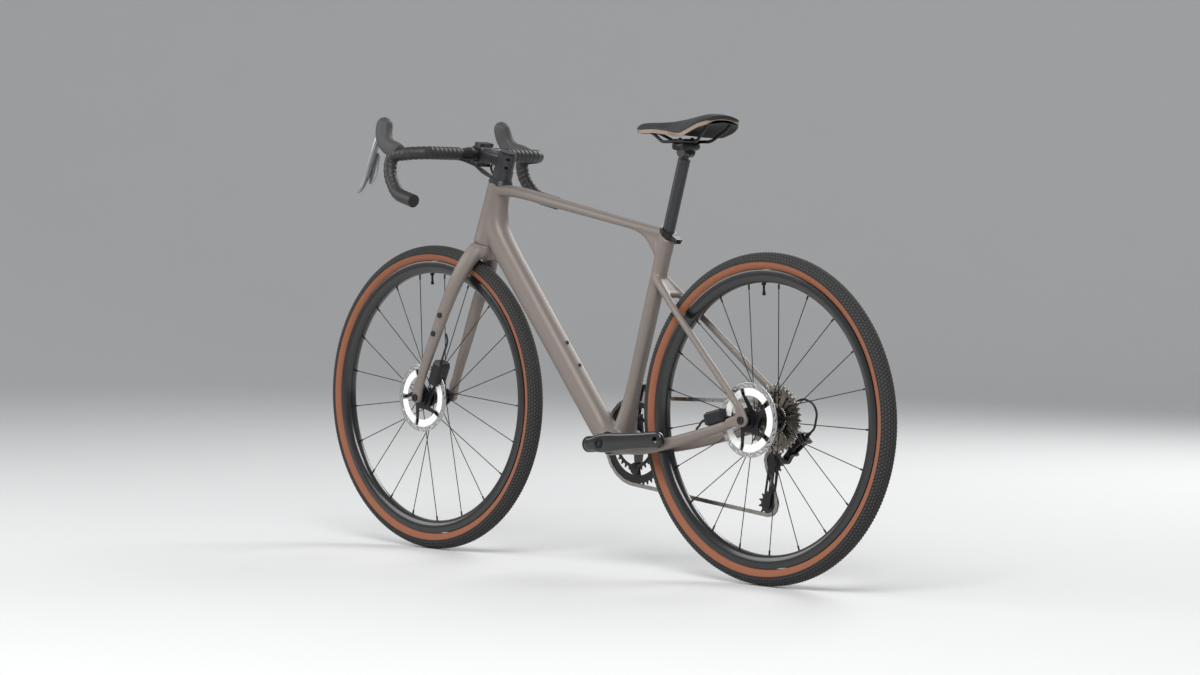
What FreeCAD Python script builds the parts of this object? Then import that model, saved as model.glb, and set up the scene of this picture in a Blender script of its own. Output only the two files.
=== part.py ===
"""Gravel bike with drop bar, disc brakes and a two-ring, twelve-sprocket drive, in millimetres.

X points forward, Y to the bike's left and Z up. The origin is on the floor, midway between the axles.
"""
import FreeCAD, Part
import math
import os

import Sketcher
from FreeCAD import Placement, Rotation, Vector

doc = FreeCAD.newDocument("gravel_bike")
dims = doc.addObject("Spreadsheet::Sheet", "dims")

# Driving dimensions: every size that can be set by itself has one cell
SIZES = {
    # Layout of the frame
    "wheelbase": 1047, "chainstay": 435.5, "bb_drop": 72, "head_angle": 71.5, "seat_angle": 74,
    "fork_rake": 47, "fork_reach": 361, "head_tube_length": 145, "seat_tube_length": 478,
    "stay_joint": 380, "rear_spacing": 142, "front_spacing": 100, "dropout_width": 10,
    # Tubes
    "head_tube_radius": 28, "down_tube_half_width": 26, "down_tube_half_depth": 27,
    "top_tube_half_width": 20, "top_tube_half_depth": 10.5, "seat_tube_half_width": 16.2,
    "shell_radius": 28, "shell_width": 86.5, "stay_half_width": 6.5, "stay_half_depth": 7.5,
    # Bearings, axles and fits
    "steerer_radius": 14.3, "bearing_radius": 24, "bearing_height": 8, "axle_radius": 6,
    "spindle_radius": 12, "cup_radius": 20.5, "fit": 0.05, "gap": 0.4,
    # Wheels
    "tyre_radius": 355, "tyre_half_width": 21.5, "casing_wall": 3.2, "rim_radius": 317.5,
    "rim_half_width": 15, "rim_depth": 28.5, "rim_wall": 2.4, "bead_depth": 6.5, "spokes": 21,
    "spoke_radius": 1, "nipple_length": 10, "nipple_radius": 2, "hub_radius": 15.5, "flange_radius": 23,
    "bearing_seat": 13, "endcap_radius": 9.5, "sleeve_radius": 8.5,
    # Brakes
    "rotor_radius": 80, "rotor_track": 17, "rotor_fins": 11, "rotor_thickness": 1.8,
    "rotor_inset_front": 12.5, "rotor_inset_rear": 16, "boss_radius": 17, "pad_gap": 0.45, "pad_thickness": 3.5,
    "piston_radius": 11, "caliper_length": 58, "caliper_depth": 30,
    # Drive
    "pitch": 12.7, "ring_teeth": 48, "small_ring_teeth": 31, "cog_teeth": 17, "pulley_teeth": 12,
    "chain_line": 48, "ring_step": 8, "cog_step": 3.65, "crank_length": 172.5,
    "crank_end": 18.5, "crank_thickness": 15, "crank_offset": 60, "crank_rise": 5.6,
    "pedal_radius": 7.1, "freehub_radius": 16, "cage_length": 94, "bolt_circle": 55,
    # Cockpit and saddle
    "stem_length": 80, "stem_rise": 12.5, "bar_radius": 15.9, "grip_radius": 11.9,
    "tape_wall": 3.6, "bar_half_width": 200, "bar_reach": 86, "bar_drop": 109, "bar_flare": 26,
    "post_radius": 13.6, "post_length": 350, "post_height": 665.8, "rail_radius": 3.5, "rail_half_gap": 22,
    "saddle_length": 250, "saddle_half_width": 72,
}
for row, (alias, value) in enumerate(SIZES.items(), 1):
    dims.set(f"A{row}", alias)
    dims.set(f"B{row}", str(value))
    dims.setAlias(f"B{row}", alias)
doc.recompute()


def size(alias):
    """The number in the sheet's cell of that name."""
    return float(dims.get(alias))


FIT = size("fit")
GAP = size("gap")
nodes = []


def node(label, item):
    """Names a finished sub-part and keeps it for the export."""
    item.Label = label
    nodes.append(item)
    return item


def shaped(label, shape, place=None):
    """A sub-part whose shape is worked out by functions, placed after its shape is set."""
    item = doc.addObject("Part::Feature", label)
    item.Shape = shape
    item.Placement = place or Placement()
    return item


def group(label, shapes):
    """A sub-part of several separate solids."""
    return node(label, shaped(label, Part.makeCompound(shapes)))


def primitive(kind, label, place, **bound):
    """A primitive whose named properties follow expressions on the sheet."""
    item = doc.addObject("Part::" + kind, label)
    for name, expression in bound.items():
        item.setExpression(name, expression)
    item.Placement = place
    return item


def boolean(kind, label, base, tool):
    """A cut or fuse of two document objects."""
    item = doc.addObject("Part::" + kind, label)
    item.Base = base
    item.Tool = tool
    return item


def turned(label, loops, place):
    """A body turned about its own Y axis from outlines of (radius, place along the axis) expressions."""
    body = doc.addObject("PartDesign::Body", label)
    outline = body.newObject("Sketcher::SketchObject", label + "_outline")
    plane = next(f for f in body.Origin.OriginFeatures if f.Role == "XY_Plane")
    outline.AttachmentSupport = [(plane, "")]
    outline.MapMode = "FlatFace"
    for loop in loops:
        draw_loop(outline, loop)
    turn = body.newObject("PartDesign::Revolution", label + "_turn")
    turn.Profile = outline
    turn.ReferenceAxis = (outline, ["V_Axis"])
    turn.Angle = 360
    body.Placement = place
    return body


def draw_loop(outline, loop):
    """A closed polygon whose corners are held by expressions on the sheet."""
    corners = [Vector(outline.evalExpression(a), outline.evalExpression(b), 0) for a, b in loop]
    first = outline.GeometryCount
    count = len(corners)
    for i in range(count):
        outline.addGeometry(Part.LineSegment(corners[i], corners[(i + 1) % count]), False)
    for i in range(count):
        outline.addConstraint(Sketcher.Constraint("Coincident", first + i, 2, first + (i + 1) % count, 1))
    for i, expressions in enumerate(loop):
        for kind, expression in zip(("DistanceX", "DistanceY"), expressions):
            value = outline.evalExpression(expression)
            index = outline.addConstraint(Sketcher.Constraint(kind, -1, 1, first + i, 1, value))
            outline.setExpression(f"Constraints[{index}]", expression)


def unit(vector):
    """The vector at length one."""
    return vector / vector.Length


def section(centre, along, half_side, half_up, corner):
    """A rounded rectangle across a tube: its sides lie along Y, as far as the tube's run allows."""
    run = unit(along)
    side = unit(Vector(0, 1, 0) - run * run.y)
    up = run.cross(side)
    turn = math.sqrt(0.5) * corner
    edges = []
    ends = []
    for sx, sy in ((1, 1), (-1, 1), (-1, -1), (1, -1)):
        mid = centre + side * (sx * (half_side - corner)) + up * (sy * (half_up - corner))
        at_side = mid + side * (sx * corner)
        at_up = mid + up * (sy * corner)
        bend = mid + side * (sx * turn) + up * (sy * turn)
        start, stop = (at_side, at_up) if sx == sy else (at_up, at_side)
        ends.append((start, bend, stop))
    for i, (start, bend, stop) in enumerate(ends):
        edges.append(Part.Arc(start, bend, stop).toShape())
        edges.append(Part.LineSegment(stop, ends[(i + 1) % 4][0]).toShape())
    return Part.Wire(edges)


def tube(stations):
    """A solid through rounded rectangles: each station is (centre, half side, half up, corner)."""
    wires = []
    last = len(stations) - 1
    for i, (centre, half_side, half_up, corner) in enumerate(stations):
        along = stations[min(i + 1, last)][0] - stations[max(i - 1, 0)][0]
        wires.append(section(centre, along, half_side, half_up, corner))
    return Part.makeLoft(wires, True, True)


def rod(start, end, radius):
    """A round bar between two points."""
    run = end - start
    return Part.makeCylinder(radius, run.Length, start, run)


def ring(start, end, outer, inner):
    """A round tube between two points."""
    return rod(start, end, outer).cut(rod(start, end, inner))


def across(point, low, high, radius):
    """A round bar along Y through a point, between two places on Y."""
    return rod(Vector(point.x, low, point.z), Vector(point.x, high, point.z), radius)


def link(first, first_radius, second, second_radius, low, high):
    """A flat link along Y: two round ends in the XZ plane and the tangents between them."""
    span = Vector(second.x - first.x, 0, second.z - first.z)
    ahead = unit(span)
    tilt = math.acos((first_radius - second_radius) / span.Length)
    left = Rotation(Vector(0, 1, 0), math.degrees(tilt)).multVec(ahead)
    right = Rotation(Vector(0, 1, 0), -math.degrees(tilt)).multVec(ahead)
    a = Vector(first.x, low, first.z)
    b = Vector(second.x, low, second.z)
    outline = [
        Part.LineSegment(a + left * first_radius, b + left * second_radius).toShape(),
        Part.Arc(b + left * second_radius, b + ahead * second_radius, b + right * second_radius).toShape(),
        Part.LineSegment(b + right * second_radius, a + right * first_radius).toShape(),
        Part.Arc(a + right * first_radius, a - ahead * first_radius, a + left * first_radius).toShape(),
    ]
    return Part.Face(Part.Wire(outline)).extrude(Vector(0, high - low, 0))


def rounded_path(points, radius):
    """Straight runs joined by tangent arcs, each of the given radius or what its runs leave room for."""
    edges = []
    start = points[0]
    length = 0
    for i in range(1, len(points) - 1):
        back = points[i - 1] - points[i]
        ahead = points[i + 1] - points[i]
        half = back.getAngle(ahead) / 2
        room = 0.45 * min(back.Length, ahead.Length) * math.tan(half)
        bend = min(radius, room)
        cut = bend / math.tan(half)
        enter = points[i] + unit(back) * cut
        leave = points[i] + unit(ahead) * cut
        middle = unit(unit(back) + unit(ahead))
        top = points[i] + middle * (bend / math.sin(half) - bend)
        edges.append(Part.LineSegment(start, enter).toShape())
        edges.append(Part.Arc(enter, top, leave).toShape())
        start = leave
    edges.append(Part.LineSegment(start, points[-1]).toShape())
    return Part.Wire(edges)


def pipe(points, bend, radius):
    """A round bar swept along a rounded path, with its volume compared with section times length."""
    path = rounded_path(points, bend)
    first = path.Edges[0]
    start = first.valueAt(first.FirstParameter)
    profile = Part.Wire(Part.Circle(start, first.tangentAt(first.FirstParameter), radius).toShape())
    solid = path.makePipeShell([profile], True, True)
    wanted = math.pi * radius ** 2 * path.Length
    bends = [round(edge.Curve.Radius, 1) for edge in path.Edges if hasattr(edge.Curve, "Radius")]
    print(f"swept bar of radius {radius:.2f}, length {path.Length:.1f}, bends {bends}")
    if abs(solid.Volume - wanted) > 0.01 * wanted:
        raise ValueError(f"swept bar holds {solid.Volume:.0f}, not {wanted:.0f}")
    return solid


def mirrored(shape):
    """The same shape on the other side of the bike's mid-plane."""
    return shape.mirror(Vector(0, 0, 0), Vector(0, 1, 0))


def fused(shapes):
    """Several overlapping shapes as one solid."""
    whole = shapes[0].multiFuse(shapes[1:])
    return whole.removeSplitter()


def socket_bolt(seat, outward, head_radius, head_height, shank_radius, shank_length):
    """A cap screw: its head stands outward from the seat, with a round socket, and its shank goes in."""
    out = unit(outward)
    head = rod(seat, seat + out * head_height, head_radius)
    socket = rod(seat + out * (head_height * 0.4), seat + out * head_height, head_radius * 0.5)
    return head.cut(socket).fuse(rod(seat, seat - out * shank_length, shank_radius))


# Points and directions that the pieces share
HALF_BASE = size("wheelbase") / 2
AXLE_Z = size("tyre_radius")
REAR = Vector(-HALF_BASE, 0, AXLE_Z)
FRONT = Vector(HALF_BASE, 0, AXLE_Z)
STAY_RUN = math.sqrt(size("chainstay") ** 2 - size("bb_drop") ** 2)
CRANK = Vector(REAR.x + STAY_RUN, 0, AXLE_Z - size("bb_drop"))
HEAD_TILT = math.radians(size("head_angle"))
SEAT_TILT = math.radians(size("seat_angle"))
HEAD_UP = Vector(-math.cos(HEAD_TILT), 0, math.sin(HEAD_TILT))
SEAT_UP = Vector(-math.cos(SEAT_TILT), 0, math.sin(SEAT_TILT))
HEAD_AHEAD = Vector(math.sin(HEAD_TILT), 0, math.cos(HEAD_TILT))
STEER_FOOT = Vector(FRONT.x - size("fork_rake") / math.sin(HEAD_TILT), 0, AXLE_Z)
LEFT = Vector(0, 1, 0)
UP = Vector(0, 0, 1)
FORWARD = Vector(1, 0, 0)


def on_head(rise):
    """The point of the steering axis at a height above the axles."""
    return STEER_FOOT + HEAD_UP * (rise / HEAD_UP.z)


def on_seat(length):
    """The point of the seat tube's axis at a length from the crank axis."""
    return CRANK + SEAT_UP * length


def on_stay(share, side, lift):
    """A point beside the line from crank axis to rear axle, at a share of its length."""
    return CRANK + (REAR - CRANK) * share + Vector(0, side, lift)


HEAD_FOOT = on_head(size("fork_reach"))
HEAD_TOP = HEAD_FOOT + HEAD_UP * size("head_tube_length")
SEAT_TOP = on_seat(size("seat_tube_length"))
REAR_HALF = size("rear_spacing") / 2
FRONT_HALF = size("front_spacing") / 2
DROPOUT = size("dropout_width")
HANGER_PLATE = 4
AXLE_HOLE = size("axle_radius") + FIT
POST_BORE = size("post_radius") + FIT
CLEAR_ARC = size("tyre_radius") + 9


def seat_cap_slope():
    """The slope of the seat tube's top and of the clamp on it, down towards the rear."""
    return Rotation(LEFT, -33)


def make_frame():
    """One moulded piece: head, down, top and seat tubes, bottom bracket shell, stays and dropouts."""
    head = rod(HEAD_FOOT, HEAD_TOP, size("head_tube_radius"))
    wide = size("down_tube_half_width")
    deep = size("down_tube_half_depth")
    down_top = HEAD_FOOT + HEAD_UP * 48
    down_foot = CRANK + Vector(19, 0, 8)
    down = tube([
        (down_top, wide, deep + 4, 15),
        (down_top + (down_foot - down_top) * 0.16, wide, deep + 1, 15),
        (down_foot + (down_top - down_foot) * 0.12, wide, deep, 15),
        (down_foot, wide + 6, deep - 2, 15),
    ])
    gusset = tube([
        (HEAD_FOOT + HEAD_UP * 34 - FORWARD * 6, wide - 3, 31, 14),
        (HEAD_FOOT + HEAD_UP * 80 - FORWARD * 14, wide - 4, 31, 14),
        (HEAD_TOP - HEAD_UP * 20 - FORWARD * 10, wide - 3, 29, 14),
    ])
    side = size("top_tube_half_width")
    depth = size("top_tube_half_depth")
    top_front = HEAD_TOP + Vector(-6, 0, -15)
    top_rear = SEAT_TOP + Vector(6, 0, -2)
    top = tube([
        (top_front, side + 4, depth + 2, 9),
        (top_front + Vector(-54, 0, -4), side + 1, depth + 0.5, 8),
        (top_rear + (top_front - top_rear) * 0.14, side - 2, depth - 2, 7),
        (top_rear, side - 5, depth + 1, 8),
    ])
    seat_side = size("seat_tube_half_width")
    seat = tube([
        (on_seat(16), size("shell_width") / 2 - 12, 21, 12),
        (on_seat(80), seat_side + 4, 17, 12),
        (on_seat(200), seat_side, seat_side, 12),
        (on_seat(size("stay_joint")), seat_side, seat_side + 0.6, 12),
        (SEAT_TOP + SEAT_UP * 26, seat_side + 1, seat_side + 1.6, 12),
    ])
    shell = across(CRANK, -size("shell_width") / 2, size("shell_width") / 2, size("shell_radius"))
    end_y = REAR_HALF + DROPOUT / 2
    chainstay = tube([
        (on_stay(0.03, 20, -6), 11, 18, 8),
        (on_stay(0.15, 26.6, -17), 9.2, 16, 8),
        (on_stay(0.26, 35.2, -21), 9, 14.5, 7),
        (on_stay(0.57, 57, -19), 8.5, 12, 6),
        (on_stay(0.79, 68, -10), 8, 10.5, 6),
        (on_stay(0.97, end_y, -3), 5, 9, 4),
    ])
    stay_top = on_seat(size("stay_joint")) + Vector(-4, 12, 0)
    stay_foot = REAR + Vector(8, end_y, 24)
    half_wide = size("stay_half_width")
    half_deep = size("stay_half_depth")
    seatstay = tube([
        (stay_top, half_wide, half_deep + 2, 5),
        (stay_top + (stay_foot - stay_top) * 0.14 + LEFT * 3, half_wide, half_deep + 1, 5),
        (stay_top + (stay_foot - stay_top) * 0.30 + LEFT * 4.5, half_wide, half_deep, 5),
        (stay_top + (stay_foot - stay_top) * 0.85, half_wide, half_deep, 5),
        (stay_foot, DROPOUT / 2, half_deep, 4),
    ])
    bridge_mid = stay_top + (stay_foot - stay_top) * 0.14 + LEFT * 3
    bridge = across(bridge_mid, -bridge_mid.y, bridge_mid.y, half_deep)
    yoke = tube([
        (Vector(stay_top.x, 0, stay_top.z), stay_top.y + 2, half_deep, 4),
        (Vector(bridge_mid.x, 0, bridge_mid.z), bridge_mid.y, half_deep - 2, 4),
    ])
    corner = tube([
        (top_rear + Vector(56, 0, 4), side - 5, depth - 1, 6),
        (top_rear + Vector(27, 0, -17), side - 5, depth + 8, 6),
        (on_seat(size("seat_tube_length") - 62), seat_side - 1, depth, 6),
    ])
    hollows = [
        tube([
            (down_top, wide - WALL, deep + 2 - WALL, 12),
            (down_top + (down_foot - down_top) * 0.16, wide - WALL, deep + 1 - WALL, 12),
            (down_foot + (down_top - down_foot) * 0.12, wide - WALL, deep - WALL, 12),
            (down_foot, wide - WALL, deep - 2 - WALL, 12),
        ]),
        tube([
            (top_front + Vector(-26, 0, -2), side + 1 - WALL, depth + 0.5 - WALL, 5),
            (top_front + Vector(-54, 0, -4), side + 1 - WALL, depth + 0.5 - WALL, 5),
            (top_rear + (top_front - top_rear) * 0.14, side - 2 - WALL, depth - 2 - WALL, 3.5),
        ]),
        rod(CRANK, on_seat(160), size("post_radius") - 2),
    ]
    pieces = [head, down, gusset, top, seat, corner, shell, bridge, yoke]
    for flip, inner in ((False, REAR_HALF), (True, REAR_HALF + HANGER_PLATE)):
        low, high = (inner, REAR_HALF + DROPOUT)
        plate = link(REAR, 15, REAR + Vector(38, 0, -7), 10, low, high)
        horn = link(REAR, 15, REAR + Vector(10, 0, 28), 9, low, high)
        for piece in (chainstay, seatstay, plate, horn):
            pieces.append(mirrored(piece) if flip else piece)
    whole = fused(pieces)
    seat_cap = Part.makeBox(160, 160, 80, Vector(-80, -80, 0))
    seat_cap.Placement = Placement(SEAT_TOP, seat_cap_slope())
    cuts = [
        rod(HEAD_FOOT - HEAD_UP, HEAD_TOP + HEAD_UP, size("steerer_radius") + 6),
        rod(HEAD_FOOT - HEAD_UP, HEAD_FOOT + HEAD_UP * size("bearing_height"), size("bearing_radius") + FIT),
        rod(HEAD_TOP + HEAD_UP, HEAD_TOP - HEAD_UP * size("bearing_height"), size("bearing_radius") + FIT),
        rod(HEAD_TOP + HEAD_UP * 0.01, HEAD_TOP + HEAD_UP * 40, 60),
        rod(HEAD_FOOT - HEAD_UP * 40, HEAD_FOOT - HEAD_UP * 0.01, CROWN_CLEAR),
        rod(on_seat(150), SEAT_TOP + SEAT_UP * 40, POST_BORE),
        across(CRANK, -60, 60, size("cup_radius") + FIT),
        across(REAR, -100, 100, AXLE_HOLE),
        across(pad_spot(REAR_CALIPER, REAR), REAR_ROTOR, REAR_ROTOR + BODY_HALF, size("piston_radius") + GAP),
        seat_cap,
    ]
    for spot in bottle_spots():
        cuts.append(rod(spot - bottle_out() * 14, spot + bottle_out() * 6, BOTTLE_BOLT + FIT))
    for cut in cuts + hollows:
        whole = whole.cut(cut)
    return whole


WALL = 3.2
CROWN_CLEAR = 37
BOTTLE_BOLT = 2.5
BOTTLE_PITCH = 64


def down_run():
    """The down tube's direction, from its foot up."""
    return unit(HEAD_FOOT + HEAD_UP * 48 - CRANK - Vector(19, 0, 8))


def bottle_out():
    """The way out of the down tube's upper face."""
    run = down_run()
    return Vector(-run.z, 0, run.x)


def bottle_spots():
    """The two bottle bosses on the down tube's upper face."""
    foot = CRANK + Vector(19, 0, 8)
    first = foot + down_run() * 196 + bottle_out() * (size("down_tube_half_depth") + 0.55)
    return [first, first + down_run() * BOTTLE_PITCH]


# Where the rear caliper sits: the stay keeps room for its pistons
REAR_ROTOR = REAR_HALF - size("rotor_inset_rear")
PAD_RADIUS_PLACE = size("rotor_radius") - size("rotor_track") / 2
SLOT_HALF = size("rotor_thickness") / 2 + size("pad_gap") + size("pad_thickness")
BODY_HALF = SLOT_HALF + 12
DEPTH = size("caliper_depth")
stay_front = on_stay(0.70, 0, -13)
stay_back = on_stay(0.90, 0, -5.5)
STAY_TILT = math.degrees(math.atan2(stay_back.z - stay_front.z, stay_front.x - stay_back.x))
stay_up = Rotation(LEFT, STAY_TILT).multVec(UP)
REAR_CALIPER = on_stay(0.81, 0, -9) + stay_up * (DEPTH / 2 + 10.6)


def pad_spot(caliper, wheel):
    """The middle of a caliper's pads, on the rotor's braking track."""
    return wheel + unit(Vector(caliper.x - wheel.x, 0, caliper.z - wheel.z)) * PAD_RADIUS_PLACE


node("frame", shaped("frame", make_frame()))

# Headset bearings, pressed into both ends of the head tube
bearing = size("bearing_height")
group("headset_bearings", [
    ring(HEAD_FOOT, HEAD_FOOT + HEAD_UP * bearing, size("bearing_radius"), size("steerer_radius") + FIT),
    ring(HEAD_TOP - HEAD_UP * bearing, HEAD_TOP, size("bearing_radius"), size("steerer_radius") + FIT),
])

# Bottom bracket cups: a flange outside the shell and a barrel inside it
SHELL_HALF = size("shell_width") / 2
CUP_FLANGE = 1.5


def bearing_cup():
    """The left cup, bored for the spindle."""
    barrel = across(CRANK, SHELL_HALF - 12, SHELL_HALF + CUP_FLANGE, size("cup_radius"))
    flange = across(CRANK, SHELL_HALF, SHELL_HALF + CUP_FLANGE, size("shell_radius") - 3)
    return barrel.fuse(flange).cut(across(CRANK, 0, 80, size("spindle_radius") + FIT))


group("bottom_bracket_cups", [bearing_cup(), mirrored(bearing_cup())])


def wheel_turn(centre):
    """The place of a piece turned about its own Y axis at a wheel's centre."""
    return Placement(centre, Rotation())


def make_tyre(label, centre):
    """A casing: a torus with a smaller torus and everything inside the rim's edge taken out."""
    lie = Placement(centre, Rotation(FORWARD, 90))
    ring_radius = "dims.tyre_radius - dims.tyre_half_width"
    outer = primitive("Torus", label + "_outer", lie, Radius1=ring_radius, Radius2="dims.tyre_half_width")
    inner = primitive("Torus", label + "_inner", lie, Radius1=ring_radius,
                      Radius2="dims.tyre_half_width - dims.casing_wall")
    low = Placement(centre - LEFT * 60, Rotation(FORWARD, -90))
    mouth = primitive("Cylinder", label + "_mouth", low, Radius="dims.rim_radius + dims.fit", Height="120")
    node(label, boolean("Cut", label, boolean("Cut", label + "_casing", outer, inner), mouth))


def make_rim(label, centre):
    """A hooked box rim: an outer outline and a hollow inside it."""
    edge = "dims.rim_radius"
    wide = "dims.rim_half_width"
    bed = "dims.rim_radius - dims.bead_depth"
    inside = "(dims.rim_half_width - dims.rim_wall)"
    nose = "dims.rim_radius - dims.rim_depth"
    outer = [(edge, wide), (edge, inside), (bed, inside), (bed + " - 3", "5"), (bed + " - 3", "-5"),
             (bed, "-" + inside), (edge, "-" + inside), (edge, "-" + wide),
             (nose + " + 13", "-" + wide + " + 1.2"), (nose + " + 4", "-9"), (nose, "-3.5"), (nose, "3.5"),
             (nose + " + 4", "9"), (nose + " + 13", wide + " - 1.2")]
    hollow = [(bed + " - dims.rim_wall", wide + " - 4"), (bed + " - 3 - dims.rim_wall", "0"),
              (bed + " - dims.rim_wall", "4 - " + wide), (nose + " + 5 + dims.rim_wall", "-6.5"),
              (nose + " + dims.rim_wall", "0"), (nose + " + 5 + dims.rim_wall", "6.5")]
    node(label, turned(label, [outer, hollow], wheel_turn(centre)))


NOSE = size("rim_radius") - size("rim_depth")
SPOKES = int(size("spokes"))
TRIPLET = 360 / SPOKES * 3
VALVE_ANGLE = 87.4
SPOKE_START = 44.5
PAIR_OFFSET = 2.6


def polar(centre, degrees, radius, side):
    """A point of a wheel at an angle from forwards, a radius and a place along the axle."""
    angle = math.radians(degrees)
    return centre + Vector(radius * math.cos(angle), side, radius * math.sin(angle))


def spoke_and_nipple(centre, degrees, flange_side, twist):
    """A straight-pull spoke from the flange's rim, and its nipple on the rim's nose.

    twist turns the flange end about the axle, so that the spoke leaves the flange at a slant.
    """
    reach = size("flange_radius") + 1.2 if twist else size("flange_radius") - 2.5
    rim_end = polar(centre, degrees, NOSE - 0.35, 0)
    offset = math.copysign(PAIR_OFFSET, twist) if twist else 0
    hub_end = polar(centre, degrees + twist, reach, flange_side + offset)
    run = unit(hub_end - rim_end)
    joint = rim_end + run * size("nipple_length")
    return [rod(hub_end, joint, size("spoke_radius")), rod(joint, rim_end, size("nipple_radius"))]


def make_spokes(label, centre, pair_side, single_side, single_angle):
    """Seven triplets: two crossing spokes to one flange and a radial one to the other, and the valve."""
    solids = []
    step = 360 / SPOKES
    for k in range(SPOKES // 3):
        angle = single_angle + k * TRIPLET
        solids += spoke_and_nipple(centre, angle, single_side, 0)
        solids += spoke_and_nipple(centre, angle + step, pair_side, 52)
        solids += spoke_and_nipple(centre, angle + 2 * step, pair_side, -52)
    stem_foot = polar(centre, VALVE_ANGLE, NOSE - 0.2, 0)
    stem_tip = polar(centre, VALVE_ANGLE, NOSE - 26, 0)
    nut_tip = polar(centre, VALVE_ANGLE, NOSE - 4, 0)
    cap_foot = polar(centre, VALVE_ANGLE, NOSE - 18, 0)
    valve = [rod(nut_tip, stem_foot, 5), rod(stem_tip, nut_tip, 2.6), rod(stem_tip, cap_foot, 3.6)]
    solids.append(fused(valve))
    group(label, solids)


def hub_bearing(centre, low, high):
    """A bearing ring in the hub shell, round the end cap's sleeve."""
    return ring(centre + LEFT * low, centre + LEFT * high, size("bearing_seat"), size("sleeve_radius") + FIT)


def end_cap(centre, inner, outer, side):
    """A sleeve through the bearing with a collar that meets the dropout."""
    collar = ring(centre + LEFT * (side * (outer - 9)), centre + LEFT * (side * outer),
                  size("endcap_radius"), AXLE_HOLE)
    sleeve = ring(centre + LEFT * (side * inner), centre + LEFT * (side * (outer - 9)),
                  size("sleeve_radius"), AXLE_HOLE)
    return collar.fuse(sleeve)


FRONT_FLANGE = 19


def make_front_hub():
    """Shell with two flanges and a rotor boss, bearings and end caps."""
    half = FRONT_HALF - GAP / 2
    rotor_side = FRONT_HALF - size("rotor_inset_front")
    seat = size("bearing_seat")
    wall = size("hub_radius")
    shell = rod(FRONT - LEFT * 36, FRONT + LEFT * (rotor_side - 3), wall - 3)
    boss = rod(FRONT + LEFT * (rotor_side - 10), FRONT + LEFT * (rotor_side + 2.5), size("boss_radius"))
    left_flange = rod(FRONT + LEFT * (FRONT_FLANGE - 4), FRONT + LEFT * (FRONT_FLANGE + 4),
                      size("flange_radius"))
    right_flange = rod(FRONT - LEFT * 34, FRONT - LEFT * 30, size("flange_radius") - 3)
    left_bell = rod(FRONT + LEFT * 10, FRONT + LEFT * 30, wall)
    right_bell = rod(FRONT - LEFT * 37, FRONT - LEFT * 24, wall)
    whole = fused([shell, boss, left_flange, right_flange, left_bell, right_bell])
    bore = [rod(FRONT - LEFT * 60, FRONT + LEFT * 60, size("sleeve_radius") + 0.6),
            rod(FRONT - LEFT * 60, FRONT - LEFT * 27, seat + FIT),
            rod(FRONT + LEFT * (rotor_side - 8), FRONT + LEFT * 60, seat + FIT)]
    whole = whole.cut(bore[0].multiFuse(bore[1:]))
    group("front_hub", [
        whole,
        hub_bearing(FRONT, -35, -27),
        hub_bearing(FRONT, rotor_side - 8, rotor_side),
        end_cap(FRONT, 26, half, -1),
        end_cap(FRONT, rotor_side - 9, half, 1),
    ])


FREEHUB_START = 21
REAR_FLANGE_LEFT = 34
REAR_FLANGE_RIGHT = -17


def make_rear_hub():
    """Shell, bearings, and a hollow axle that carries the freehub beside the shell."""
    half = REAR_HALF - GAP / 2
    rotor_side = REAR_HALF - size("rotor_inset_rear")
    seat = size("bearing_seat")
    wall = size("hub_radius")
    shell = rod(REAR - LEFT * (FREEHUB_START - 1), REAR + LEFT * (rotor_side - 3), wall - 2.2)
    boss = rod(REAR + LEFT * (rotor_side - 10), REAR + LEFT * (rotor_side + 2.5), size("boss_radius"))
    left_flange = rod(REAR + LEFT * (REAR_FLANGE_LEFT - 2), REAR + LEFT * (REAR_FLANGE_LEFT + 2),
                      size("flange_radius") - 3)
    right_flange = rod(REAR + LEFT * (REAR_FLANGE_RIGHT - 3.8), REAR + LEFT * (REAR_FLANGE_RIGHT + 3.8),
                       size("flange_radius"))
    right_bell = rod(REAR - LEFT * (FREEHUB_START - 1), REAR - LEFT * 6, wall)
    whole = fused([shell, boss, left_flange, right_flange, right_bell])
    bore = [rod(REAR - LEFT * 80, REAR + LEFT * 80, size("sleeve_radius") + 0.6),
            rod(REAR - LEFT * 80, REAR - LEFT * 10, seat + FIT),
            rod(REAR + LEFT * (rotor_side - 8), REAR + LEFT * 80, seat + FIT)]
    whole = whole.cut(bore[0].multiFuse(bore[1:]))
    axle = ring(REAR - LEFT * half, REAR + LEFT * (half - 9), size("sleeve_radius"), AXLE_HOLE)
    collar = ring(REAR + LEFT * (half - 9), REAR + LEFT * half, size("endcap_radius"), AXLE_HOLE)
    group("rear_hub", [
        whole,
        hub_bearing(REAR, -18.5, -10.5),
        hub_bearing(REAR, rotor_side - 8, rotor_side),
        axle.fuse(collar),
    ])


def make_rotor(label, centre, side):
    """Braking ring with its fins, a carrier with five arms on the hub's boss, and its lockring."""
    half = size("rotor_thickness") / 2
    outer = size("rotor_radius")
    inner = outer - size("rotor_track") - size("rotor_fins")
    disc = ring(centre + LEFT * (side - half), centre + LEFT * (side + half), outer, inner)
    hub_ring = ring(centre + LEFT * (side - 1.5), centre + LEFT * (side + 1.5),
                    size("boss_radius") + 7, size("boss_radius") + FIT)
    arms = []
    for k in range(5):
        tip = polar(Vector(0, 0, 0), 72 * k + 20, inner - 3, 0)
        root = polar(Vector(0, 0, 0), 72 * k + 55, size("boss_radius") + 4, 0)
        arms.append(link(centre + root, 5, centre + tip, 2.9, side - 1.2, side + 1.2))
    carrier = fused([hub_ring] + arms)
    carrier = carrier.cut(rod(centre, centre + LEFT * 90, size("boss_radius") + FIT))
    lockring = ring(centre + LEFT * (side + 2.5), centre + LEFT * (side + 5), size("boss_radius") + 1.5,
                    size("endcap_radius") + 1)
    group(label, [disc, carrier, lockring])


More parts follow.
